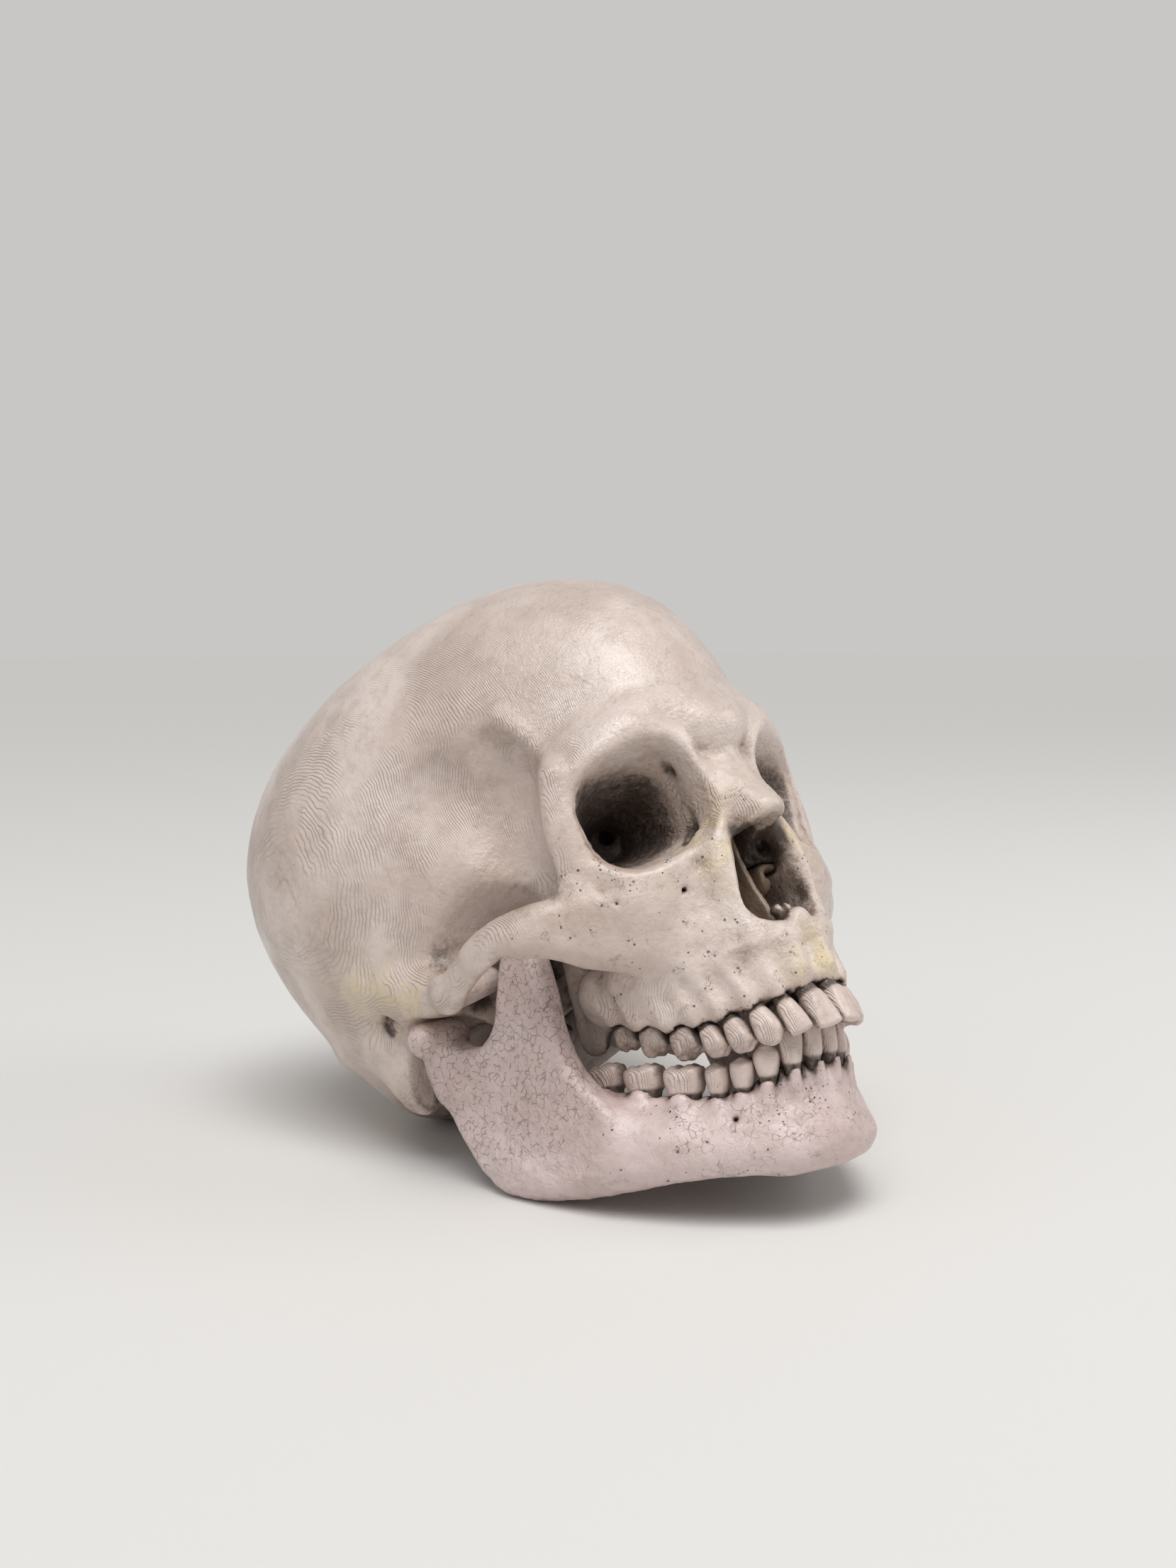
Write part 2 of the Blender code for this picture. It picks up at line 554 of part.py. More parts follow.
def cranium_bone(step):
    """The cranium in its level pose, as distances on a grid."""
    bone = Bone((0.0, *length((-1.16, -0.62))), length((0.80, 1.06, 1.32)), step)
    vault_radii = (VAULT_WIDTH / 2, VAULT_LENGTH / 2, VAULT_HEIGHT / 2)
    bone.join(Egg(length(VAULT_CENTRE_SHARES), vault_radii, VAULT_TILT, VAULT_TAPER_SHARES), step)
    for centre, size, amount in VAULT_PRESS_SHARES:
        bone.press(length(centre), length(size), length(amount))
    _, x, y, z = bone.part(*(np.array([a[0] for a in bone.axes]), np.array([a[-1] for a in bone.axes])))
    for place, (ahead, down), blend in BASE_TRIM_SHARES:
        under = ahead * (y - length(place[1])) + down * (z - length(place[2])) + 0 * x
        bone.d = -blend_min(-bone.d, -under.astype(np.float32), length(blend))
    for hollow, blend in TEMPLE_CUTS:
        bone.cut(Ball(*length(hollow)), length(blend))
    hollow = bone.d + VAULT_WALL
    add_forms(bone, FACE_FORM_SHARES)
    bone.join(Rod(length(smooth_path(ORBIT_RIM_SHARES, closed=True)), RIM_RADIUS), length(RIM_BLEND_SHARE))
    wall = Rod(length(TEMPLE_WALL_SHARES), length(TEMPLE_WALL_RADIUS_SHARE), TEMPLE_WALL_STRETCH)
    bone.cut(wall, length(RIM_BLEND_SHARE))
    roof = Rod(length(smooth_path(NOSE_ROOF_SHARES)), length(NOSE_ROOF_RADIUS_SHARE), NOSE_ROOF_STRETCH)
    bone.join(roof, length(SOFT_BLEND_SHARE))
    bone.join(Rod(length(smooth_path(NOSE_SIDE_SHARES)), length(NOSE_SIDE_RADIUS_SHARE)), length(SOFT_BLEND_SHARE))
    bone.join(Rod(length(smooth_path(CHEEK_POST_SHARES)), RIM_RADIUS), length(EDGE_BLEND_SHARE))
    bone.join(Rod(length(smooth_path(CHEEK_EDGE_SHARES)), RIM_RADIUS), length(FORM_BLEND_SHARE))
    flat = (ARCH_THICKNESS / ARCH_HEIGHT, 1, 1)
    bone.join(Rod(length(smooth_path(ARCH_SHARES)), ARCH_HEIGHT / 2, flat), length(EDGE_BLEND_SHARE))
    bone.join(Rod(length(smooth_path(TUBERCLE_SHARES)), RIM_RADIUS), length(EDGE_BLEND_SHARE))
    add_forms(bone, BASE_FORM_SHARES)
    for path, size, amount in RIDGE_SHARES:
        bone.ridge(length(path), length(size), length(amount))
    for top, tip, thin, broad in WING_PLATE_SHARES:
        bone.join(Rod(length((top, tip)), length(broad), (thin / broad, 1, 1)), length(RIM_BLEND_SHARE))
    lower, upper = gum_paths()
    bone.join(Fence(lower, upper, GUM_RADII, GUM_RADII, length(RIM_BLEND_SHARE)), length(EDGE_BLEND_SHARE))
    bone.join(Ball(length(PALATE_CENTRE_SHARES), length(PALATE_RADII_SHARES)), length(RIM_BLEND_SHARE))

    bone.cut(Ball(length(PALATE_VAULT_SHARES[0]), length(PALATE_VAULT_SHARES[1])), length(EDGE_BLEND_SHARE))
    bone.cut(Ball(*(length(v) for v in CANINE_HOLLOW_SHARES)), length(SOFT_BLEND_SHARE))
    bone.cut(Socket(length(ORBIT_MOUTH_SHARES), length(ORBIT_APEX_SHARES), ORBIT_WIDTH / 2,
                    ORBIT_HEIGHT / 2, length(ORBIT_APEX_RADIUS_SHARE), ORBIT_DEPTH / 3,
                    math.radians(-10)), length(FINE_BLEND_SHARE))
    pear = [(u * NOSE_WIDTH, length(NOSE_SILL_SHARE) + v * NOSE_HEIGHT) for u, v in NOSE_OUTLINE_SHARES]
    pear = pear + [(-u, v) for u, v in pear[-2:0:-1]]
    bone.cut(Tunnel(pear, tuple(length(NOSE_REACH_SHARES)), length(CRISP_BLEND_SHARE)), length(FINE_BLEND_SHARE))
    for slot in NOSE_SLOT_SHARES:
        bone.cut(Ball(*length(slot)), length(RIM_BLEND_SHARE))
    for centre, radii, turn, blend in BASE_CUT_SHARES:
        bone.cut(Ball(length(centre), length(radii), turn), length(blend))

    # The brain's space: the vault's own wall inside, with a stepped floor.
    floor = np.interp(y, *length(BRAIN_FLOOR_SHARES).T)
    hollow = -blend_min(-hollow, -(floor - z + 0 * x).astype(np.float32), length(FLOOR_BLEND_SHARE))
    bone.d = -blend_min(-bone.d, hollow, length(CRISP_BLEND_SHARE))
    oval = (FORAMEN_WIDTH / FORAMEN_LENGTH, 1, 1)
    bone.cut(Rod(length(FORAMEN_SHARES), FORAMEN_LENGTH / 2, oval), length(RIM_BLEND_SHARE))
    bone.cut(Rod(length(EAR_SHARES), EAR_RADIUS), length(CRISP_BLEND_SHARE))

    # The joint hollow is open below and in front, and wider than the condyle.
    hinge = length(CONDYLE_SHARES) + (0, 0, CONDYLE_RADIUS + JOINT_CLEARANCE - FOSSA_RADIUS)
    half = FOSSA_LENGTH / 2
    bone.cut(Rod((hinge - (half, 0, 0), hinge + (half, 0, 0)), FOSSA_RADIUS), length(RIM_BLEND_SHARE))
    bone.cut(condyle(JOINT_CLEARANCE), length(CRISP_BLEND_SHARE))
    return bone


def along(path, count):
    """Points at even steps along a path."""
    p = smooth_path(path)
    run = np.concatenate([[0], np.cumsum(np.linalg.norm(np.diff(p, axis=0), axis=1))])
    s = np.linspace(0, run[-1], count)
    return np.column_stack([np.interp(s, run, p[:, i]) for i in range(p.shape[1])])


def gum_paths():
    low = length(along(np.column_stack([UPPER_ROOT_ROW_SHARES, UPPER_NECK_SHARES]), FENCE_COUNT))
    high = low.copy()
    low[:, 2] += np.linspace(*GUM_RADII, FENCE_COUNT) + GUM_MARGIN
    high[:, 2] = length(UPPER_GUM_TOP_SHARE)
    return low, high


def jaw_bone(step):
    """The lower jaw in the skull's level pose, as distances on a grid."""
    bone = Bone((0.0, *length((-1.02, -1.02))), length((0.72, 0.22, 0.06)), step)
    base, top = along(LOWER_BASE_SHARES, FENCE_COUNT), along(LOWER_TOP_SHARES, FENCE_COUNT)
    top = length(top)
    top[:, 2] -= np.linspace(*JAW_TOP_RADII, FENCE_COUNT) + GUM_MARGIN
    base_radii = (JAW_BASE_RADIUS, JAW_BASE_RADIUS)
    bone.join(Fence(length(base), top, base_radii, JAW_TOP_RADII, length(RIM_BLEND_SHARE)), step)
    a, b, c = RAMUS_LEAN_SHARES
    lie = (length(a), b, c)
    bone.join(Plate(length(RAMUS_OUTLINE_SHARES), lie, RAMUS_THICKNESS / 2, RAMUS_THICKNESS / 3),
              length(FORM_BLEND_SHARE))
    for centre, radii, turn, blend in CHIN_FORM_SHARES:
        bone.join(Ball(length(centre), length(radii), turn), length(blend))
    bone.join(Rod(length(NECK_SHARES), length(NECK_RADIUS_SHARE), (1.1, 1.0, 1)), length(FORM_BLEND_SHARE))
    bone.join(condyle(0), length(FINE_BLEND_SHARE))
    return bone


# Teeth, from the middle line outwards: two incisors, canine, two premolars and
# three molars. Widths run along the row and depths from cheek to tongue. They are
# shares of the cranial base length, because the tooth rows grow with the jaws.
UPPER_WIDTH_SHARES = (0.081, 0.063, 0.073, 0.067, 0.064, 0.088, 0.093, 0.082)
UPPER_DEPTH_SHARES = (0.070, 0.062, 0.080, 0.084, 0.084, 0.100, 0.100, 0.094)
UPPER_HEIGHT_SHARES = (0.104, 0.096, 0.100, 0.087, 0.084, 0.082, 0.082, 0.074)
LOWER_WIDTH_SHARES = (0.056, 0.062, 0.068, 0.064, 0.062, 0.112, 0.114, 0.116)
LOWER_DEPTH_SHARES = (0.060, 0.064, 0.076, 0.078, 0.082, 0.100, 0.098, 0.092)
LOWER_HEIGHT_SHARES = (0.088, 0.090, 0.084, 0.075, 0.078, 0.081, 0.076, 0.074)

# How each ring of a tooth sits: height as a share of the crown or root, then
# its width and depth as shares of the crown's.
ROOT_RING_SHARES = ((-1.00, 0.38, 0.42), (-0.55, 0.58, 0.64), (0.00, 0.70, 0.78))
CROWN_RING_SHARES = {
    "incisor": ((0.30, 0.87, 0.96), (0.68, 1.00, 0.70), (0.97, 0.93, 0.36)),
    "canine": ((0.30, 0.88, 0.98), (0.62, 1.00, 0.84), (0.94, 0.46, 0.42)),
    "premolar": ((0.30, 0.88, 0.94), (0.65, 1.00, 1.00), (0.94, 0.86, 0.72)),
    "molar": ((0.30, 0.91, 0.94), (0.65, 1.00, 1.00), (0.93, 0.91, 0.82)),
}
TOOTH_KINDS = ("incisor", "incisor", "canine", "premolar", "premolar", "molar", "molar", "molar")
TOOTH_NAMES = ("central_incisor", "lateral_incisor", "canine", "first_premolar",
               "second_premolar", "first_molar", "second_molar", "third_molar")
SQUARENESS = 2.4
NECK_LEAN_SHARE = 0.45

# The little bones of the nose.
SEPTUM_OUTLINE_SHARES = (
    (-0.800, -0.258), (-0.420, -0.265), (-0.400, -0.160), (-0.440, 0.080),
    (-0.500, 0.190), (-0.620, 0.225), (-0.750, 0.190), (-0.790, -0.060),
)
SEPTUM_THICKNESS = 0.0022
CONCHA_THICKNESS = 0.0020
CONCHA_PROFILE_SHARES = ((0.140, -0.060), (0.090, -0.052), (0.062, -0.080), (0.062, -0.130), (0.080, -0.150))
CONCHA_STATION_SHARES = ((-0.780, 0.50), (-0.680, 1.00), (-0.560, 1.00), (-0.470, 0.60))

BONE_COLOUR = (0.66, 0.57, 0.50, 1.0)
JAW_COLOUR = (0.64, 0.55, 0.50, 1.0)
TOOTH_COLOUR = (0.55, 0.46, 0.37, 1.0)
NOSE_COLOUR = (0.36, 0.28, 0.22, 1.0)
BONE_ROUGHNESS = 0.42
TOOTH_ROUGHNESS = 0.38


def rest(points):
    """Level-pose points, tilted back and set down on the table."""
    c, s = math.cos(REST_TILT), math.sin(REST_TILT)
    p = np.atleast_2d(points)
    return np.column_stack([p[:, 0], c * p[:, 1] + s * p[:, 2] + REST_SHIFT,
                            c * p[:, 2] - s * p[:, 1] + REST_RISE])


def material(name, colour, roughness):
    made = bpy.data.materials.new(name)
    made.use_nodes = True
    shader = made.node_tree.nodes["Principled BSDF"]
    shader.inputs["Base Color"].default_value = colour
    shader.inputs["Roughness"].default_value = roughness
    shader.inputs["Metallic"].default_value = 0
    return made


def solid(name, points, faces, finish, carrier):
    """One named object, its mesh measured from the empty that carries it."""
    mesh = bpy.data.meshes.new(name)
    mesh.from_pydata((np.asarray(points) - np.array(carrier.location)).tolist(), [], faces)
    mesh.update()
    if finish:
        mesh.materials.append(finish)
    mesh.shade_smooth()
    made = bpy.data.objects.new(name, mesh)
    bpy.context.scene.collection.objects.link(made)
    made.parent = carrier
    return made


def cutter(name, points, faces, carrier):
    made = solid(name, points, faces, None, carrier)
    made.hide_render = True
    made.display_type = "WIRE"
    return made


def carve(target, tool):
    cut = target.modifiers.new(tool.name, "BOOLEAN")
    cut.operation = "DIFFERENCE"
    cut.solver = "EXACT"
    cut.use_self = True
    cut.object = tool


def largest_piece(points, faces):
    """Drops any speck that the grid left apart from the bone."""
    owner = np.arange(len(points))
    links = np.array([(f[0], v) for f in faces for v in f[1:]])
    while True:
        low = np.minimum(owner[links[:, 0]], owner[links[:, 1]])
        before = owner.copy()
        np.minimum.at(owner, links[:, 0], low)
        np.minimum.at(owner, links[:, 1], low)
        owner = owner[owner]
        if np.array_equal(owner, before):
            break
    names, counts = np.unique(owner, return_counts=True)
    keep = owner == names[np.argmax(counts)]
    index = np.cumsum(keep) - 1
    return points[keep], [tuple(int(index[v]) for v in f) for f in faces if keep[f[0]]]


def thinned(target, keep_share):
    thin = target.modifiers.new("thin", "DECIMATE")
    thin.ratio = keep_share
    thin.use_collapse_triangulate = True


class Tooth:
    """Where a tooth stands: its neck, the way it points and its directions."""

    def __init__(self, name, kind, neck, tip, row, width, depth):
        self.name, self.kind, self.neck = name, kind, neck
        self.width, self.depth = width, depth
        self.height = float(np.linalg.norm(tip - neck))
        self.up = (tip - neck) / self.height
        along_row = row - self.up * float(row @ self.up)
        self.row = along_row / np.linalg.norm(along_row)
        self.out = np.cross(self.row, self.up)

    def ring(self, rise, wide, deep, grow):
        turn = np.arange(TOOTH_SIDES) * 2 * math.pi / TOOTH_SIDES + math.pi / TOOTH_SIDES
        c, s = np.cos(turn), np.sin(turn)
        size = (np.abs(c) ** SQUARENESS + np.abs(s) ** SQUARENESS) ** (-1 / SQUARENESS)
        a = self.width * wide / 2 + grow
        b = self.depth * deep / 2 + grow
        centre = self.neck + self.up * rise
        return centre + np.outer(c * size * a, self.row) + np.outer(s * size * b, self.out)

    def loft(self, rings, ends):
        points = np.vstack(rings + [ends[0], ends[1]])
        n, k = TOOTH_SIDES, len(rings)
        faces = [(r * n + i, r * n + (i + 1) % n, (r + 1) * n + (i + 1) % n, (r + 1) * n + i)
                 for r in range(k - 1) for i in range(n)]
        faces += [((i + 1) % n, i, k * n) for i in range(n)]
        faces += [((k - 1) * n + i, (k - 1) * n + (i + 1) % n, k * n + 1) for i in range(n)]
        return points, faces

    def body(self):
        rings = [self.ring(h * ROOT_LENGTH, w, d, 0) for h, w, d in ROOT_RING_SHARES]
        rings += [self.ring(h * self.height, w, d, 0) for h, w, d in CROWN_RING_SHARES[self.kind]]
        if self.kind in ("molar", "premolar"):
            turn = np.arange(TOOTH_SIDES) * 2 * math.pi / TOOTH_SIDES + math.pi / TOOTH_SIDES
            humps = np.cos(4 * turn + math.pi) if self.kind == "molar" else -np.cos(2 * turn)
            rings[-1] = rings[-1] + np.outer(humps * CUSP_HEIGHT / 2, self.up)
        top = self.neck + self.up * (self.height - (CUSP_HEIGHT if self.kind in ("molar", "premolar") else 0))
        return self.loft(rings, (self.neck - self.up * ROOT_LENGTH, top))

    def hole(self):
        rings = [self.ring(h * ROOT_LENGTH - FIT_GAP * (h == -1), w, d, FIT_GAP) for h, w, d in ROOT_RING_SHARES]
        crown = CROWN_RING_SHARES[self.kind][:2]
        rings += [self.ring(h * self.height, w, d, FIT_GAP) for h, w, d in crown]
        ends = (self.neck - self.up * (ROOT_LENGTH + FIT_GAP), self.neck + self.up * crown[-1][0] * self.height)
        return self.loft(rings, ends)


def row_of_teeth(row, root_row, necks, widths, depths, heights, side, sign, label):
    """Teeth set one after another along the row, from the middle outwards."""
    crown = length(along(row, ROW_COUNT))
    roots = length(along(np.column_stack([root_row, necks]), ROW_COUNT))
    run = np.concatenate([[0], np.cumsum(np.linalg.norm(np.diff(crown, axis=0), axis=1))])
    place, made = TOOTH_GAP / 2, []
    sizes = length(np.column_stack([widths, depths, heights]))
    for kind, name, (width, depth, height) in zip(TOOTH_KINDS, TOOTH_NAMES, sizes):
        middle = place + width / 2
        place += width + TOOTH_GAP
        tip = np.array([np.interp(middle, run, crown[:, i]) for i in range(2)])
        root = np.array([np.interp(middle, run, roots[:, i]) for i in range(3)])
        ahead = np.array([np.interp(middle + width / 4, run, crown[:, i]) for i in range(2)])
        behind = np.array([np.interp(middle - width / 4, run, crown[:, i]) for i in range(2)])
        neck = np.array([*(root[:2] + (tip - root[:2]) * NECK_LEAN_SHARE), root[2]])
        top = np.array([tip[0], tip[1], root[2] + sign * height])
        line = np.array([*(ahead - behind), 0.0])
        flip = np.array([side, 1, 1])
        tooth = Tooth(f"{label}_{name}", kind, rest(neck * flip)[0], rest(top * flip)[0],
                      rest(line * flip)[0] - rest(np.zeros(3))[0], width, depth)
        made.append(tooth)
    return made


def facing_out(points, faces):
    """The faces turned so that the solid's volume is positive."""
    p = np.asarray(points)
    volume = 0.0
    for f in faces:
        for i in range(1, len(f) - 1):
            volume += float(p[f[0]] @ np.cross(p[f[i]], p[f[i + 1]]))
    return faces if volume > 0 else [tuple(reversed(f)) for f in faces]


def joined(parts):
    points, faces, start = [], [], 0
    for p, f in parts:
        points.append(p)
        faces += [tuple(v + start for v in face) for face in f]
        start += len(p)
    return np.vstack(points), faces


def septum(grow):
    """The thin upright plate that parts the nose in two."""
    outline = length(smooth_path(SEPTUM_OUTLINE_SHARES, closed=True, steps=2))
    middle = outline.mean(0)
    reach = outline - middle
    outline = middle + reach * (1 + grow / np.linalg.norm(reach, axis=1))[:, None]
    half = SEPTUM_THICKNESS / 2 + grow
    n = len(outline)
    points = np.vstack([np.column_stack([np.full(n, x), outline]) for x in (-half, half)])
    faces = [tuple(range(n)), tuple(range(2 * n - 1, n - 1, -1))]
    faces += [(i, n + i, n + (i + 1) % n, (i + 1) % n) for i in range(n)]
    return rest(points), facing_out(points, faces)


def concha(side, grow):
    """The scrolled little bone on the nose's side wall."""
    line = length(smooth_path(CONCHA_PROFILE_SHARES, steps=2))
    anchor = line[0].copy()
    half = CONCHA_THICKNESS / 2 + grow
    last = len(CONCHA_STATION_SHARES) - 1
    rings = []
    for k, (y, size) in enumerate(CONCHA_STATION_SHARES):
        scroll = anchor + (line - anchor) * np.array([1.0, size])
        slope = np.gradient(scroll, axis=0)
        slope /= np.linalg.norm(slope, axis=1)[:, None]
        scroll[0] -= slope[0] * grow
        scroll[-1] += slope[-1] * grow
        normal = np.column_stack([-slope[:, 1], slope[:, 0]])
        rim = np.vstack([scroll + normal * half, (scroll - normal * half)[::-1]])
        station = length(y) + grow * ((k == last) - (k == 0))
        rings.append(np.column_stack([rim[:, 0] * side, np.full(len(rim), station), rim[:, 1]]))
    n = len(rings[0])
    points = np.vstack(rings)
    faces = [tuple(range(n)), tuple(range(len(points) - 1, len(points) - n - 1, -1))]
    faces += [(r * n + i, (r + 1) * n + i, (r + 1) * n + (i + 1) % n, r * n + (i + 1) % n)
              for r in range(last) for i in range(n)]
    return rest(points), facing_out(points, faces)


def block(low, high):
    corners = np.array([(x, y, z) for x in (low[0], high[0]) for y in (low[1], high[1])
                        for z in (low[2], high[2])])
    faces = [(0, 1, 3, 2), (4, 6, 7, 5), (0, 4, 5, 1), (2, 3, 7, 6), (0, 2, 6, 4), (1, 5, 7, 3)]
    return corners, facing_out(corners, faces)


def empty(name, place):
    made = bpy.data.objects.new(name, None)
    bpy.context.scene.collection.objects.link(made)
    made.location = [float(v) for v in place]
    return made


def build():
    for old in list(bpy.data.objects):
        bpy.data.objects.remove(old, do_unlink=True)
    bone_finish = material("varnished_bone", BONE_COLOUR, BONE_ROUGHNESS)
    jaw_finish = material("jaw_bone", JAW_COLOUR, BONE_ROUGHNESS)
    tooth_finish = material("worn_teeth", TOOTH_COLOUR, TOOTH_ROUGHNESS)
    nose_finish = material("nose_bones", NOSE_COLOUR, BONE_ROUGHNESS)
    head = empty("skull_frame", (0, 0, 0))
    hinge_place = rest(length(CONDYLE_SHARES) * np.array([0, 1, 1]))[0]
    hinge = empty("jaw_hinge", hinge_place)

    points, faces = largest_piece(*cranium_bone(VOXEL).surface())
    cranium = solid("cranium", rest(points), faces, bone_finish, head)
    thinned(cranium, CRANIUM_KEEP_SHARE)
    points, faces = largest_piece(*jaw_bone(VOXEL).surface())
    jaw = solid("mandible", rest(points), faces, jaw_finish, hinge)
    thinned(jaw, JAW_KEEP_SHARE)

    for target, carrier, label, rows, sizes, sign in (
            (cranium, head, "upper", (UPPER_ROW_SHARES, UPPER_ROOT_ROW_SHARES, UPPER_NECK_SHARES),
             (UPPER_WIDTH_SHARES, UPPER_DEPTH_SHARES, UPPER_HEIGHT_SHARES), -1),
            (jaw, hinge, "lower", (LOWER_ROW_SHARES, LOWER_ROOT_ROW_SHARES, LOWER_NECK_SHARES),
             (LOWER_WIDTH_SHARES, LOWER_DEPTH_SHARES, LOWER_HEIGHT_SHARES), 1)):
        holes = []
        for side, side_name in ((-1, "right"), (1, "left")):
            for tooth in row_of_teeth(*rows, *sizes, side, sign, f"{label}_{side_name}"):
                body, skin = tooth.body()
                solid(tooth.name, body, facing_out(body, skin), tooth_finish, carrier)
                hole, skin = tooth.hole()
                holes.append((hole, facing_out(hole, skin)))
        carve(target, cutter(f"{label}_sockets", *joined(holes), carrier))

    plate, skin = septum(0)
    solid("nasal_septum", plate, skin, nose_finish, head)
    carve(cranium, cutter("septum_groove", *septum(FIT_GAP), head))
    scrolls = []
    for side, side_name in ((-1, "right"), (1, "left")):
        solid(f"{side_name}_nasal_concha", *concha(side, 0), nose_finish, head)
        scrolls.append(concha(side, FIT_GAP))
    carve(cranium, cutter("concha_grooves", *joined(scrolls), head))

    reach = VAULT_LENGTH
    table = block((-reach, -reach, -reach), (reach, reach, 0))
    carve(cranium, cutter("table_under_cranium", *table, head))
    carve(jaw, cutter("table_under_jaw", *table, hinge))


if __name__ == "__main__":
    build()
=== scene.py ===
# %% [markdown]
# # A life-size anatomical skull lying on a table
#
# The real object is a teaching skull cast in resin, washed with brown stain and
# varnished. It is a hollow cranium, a loose lower jaw, thirty-two teeth and the
# little bones inside the nose. A finished mechanical model, here called the
# frame, already holds every piece as a plain solid. This script loads that frame,
# puts a finer piece in place of each solid, gives each one its finish, and sets up
# the table, the light and the camera.

# %% Load the frame
import math

import bpy
import numpy as np
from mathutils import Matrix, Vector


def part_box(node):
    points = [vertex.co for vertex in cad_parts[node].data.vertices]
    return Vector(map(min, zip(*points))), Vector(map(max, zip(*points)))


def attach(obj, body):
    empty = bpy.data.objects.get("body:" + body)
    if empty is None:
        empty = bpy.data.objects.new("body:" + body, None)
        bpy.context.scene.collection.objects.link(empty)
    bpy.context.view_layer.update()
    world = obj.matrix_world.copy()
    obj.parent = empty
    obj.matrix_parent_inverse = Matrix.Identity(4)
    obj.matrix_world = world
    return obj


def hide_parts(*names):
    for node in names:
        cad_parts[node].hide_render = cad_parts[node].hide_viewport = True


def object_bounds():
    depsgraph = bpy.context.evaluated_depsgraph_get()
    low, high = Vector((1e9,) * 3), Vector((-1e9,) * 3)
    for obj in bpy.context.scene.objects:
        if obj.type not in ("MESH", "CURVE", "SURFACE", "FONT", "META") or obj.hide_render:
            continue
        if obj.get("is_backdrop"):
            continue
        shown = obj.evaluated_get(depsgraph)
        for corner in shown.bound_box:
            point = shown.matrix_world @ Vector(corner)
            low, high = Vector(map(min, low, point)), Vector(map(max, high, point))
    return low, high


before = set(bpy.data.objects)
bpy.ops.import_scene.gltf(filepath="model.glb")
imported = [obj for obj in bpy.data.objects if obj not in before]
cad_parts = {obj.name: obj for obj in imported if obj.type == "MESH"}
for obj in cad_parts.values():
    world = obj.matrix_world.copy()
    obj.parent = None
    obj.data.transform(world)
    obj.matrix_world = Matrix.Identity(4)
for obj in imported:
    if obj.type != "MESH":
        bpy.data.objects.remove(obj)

import openvdb
from mathutils import Matrix

cad_low, cad_high = (list(corner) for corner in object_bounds())
size_mm = [round(1000 * (b - a), 1) for a, b in zip(cad_low, cad_high)]
print("frame of", len(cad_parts), "pieces,", size_mm, "mm")

# %% [markdown]
# ## The camera
#
# The photograph was taken from in front of the skull's right cheek, a little above
# the table and about half a metre away. A camera is a place and three directions:
# what is to its right, what is below it and where it looks. Writing those three
# directions down as the rows of a table is less fiddly than turning the camera by
# angles, and it can't tip over by accident.

# %% Stand the camera where the photograph was taken
LENS_PIXELS = 2400.0
PHOTO_HEIGHT_PIXELS = 2212.0
FILM_HEIGHT_MM = 24.0
NEAREST_SEEN = 0.01
CAMERA_PLACE = (-0.3415, -0.3871, 0.1536)
CAMERA_DIRECTIONS = ((0.7427, -0.6696, -0.0010), (-0.0585, -0.0632, -0.9963), (0.6670, 0.7400, -0.0860))

left_part, _, right_part = np.linalg.svd(np.array(CAMERA_DIRECTIONS))
to_right, to_below, to_subject = left_part @ right_part
lens = bpy.data.cameras.new("photograph")
lens.sensor_fit = "VERTICAL"
lens.sensor_height = FILM_HEIGHT_MM
lens.lens = FILM_HEIGHT_MM * LENS_PIXELS / PHOTO_HEIGHT_PIXELS
lens.clip_start = NEAREST_SEEN
camera = bpy.data.objects.new("photograph", lens)
bpy.context.scene.collection.objects.link(camera)
axes = np.column_stack([to_right, -to_below, -to_subject])
camera.matrix_world = Matrix([[*axes[i], CAMERA_PLACE[i]] for i in range(3)] + [[0, 0, 0, 1]])
bpy.context.scene.camera = camera
print("lens of", round(lens.lens, 2), "mm")

# %% [markdown]
# ## Colours and nodes
#
# Paint charts and photographs give colours as sRGB, the way a screen shows them,
# while a shader counts light. One small function turns a written hex colour into
# light. A second one adds a node to a tree, with its settings, its inputs and its
# links in one line, so that a finish can be read from top to bottom.

# %% Two helpers for every tree of nodes
def light_of(hex_colour):
    """A written colour such as #C8B6AA, as the linear colour a shader wants."""
    parts = [int(hex_colour[i:i + 2], 16) / 255 for i in (1, 3, 5)]
    return tuple(c / 12.92 if c <= 0.04045 else ((c + 0.055) / 1.055) ** 2.4 for c in parts) + (1.0,)


def add(tree, kind, inputs=None, **settings):
    """One node. An input is a value, an output socket, or a node, which stands
    for the first of its outputs that is in use."""
    node = tree.nodes.new(kind)
    for name, value in settings.items():
        setattr(node, name, value)
    for name, value in (inputs or {}).items():
        if isinstance(value, bpy.types.Node):
            value = next(output for output in value.outputs if output.enabled)
        if isinstance(value, bpy.types.NodeSocket):
            tree.links.new(value, node.inputs[name])
        else:
            node.inputs[name].default_value = value
    return node


print("a written grey of #808080 is", round(light_of("#808080")[0], 3), "of full light")

# %% [markdown]
# ## Light and table
#
# Large soft lamps light the skull as a window and a ceiling would, so that each
# hollow shades gently and the varnish shows broad highlights. They stay at a
# plain level, at which a colour comes out about as it is written. The pale
# background is only what the camera and the gloss see. It adds no light.

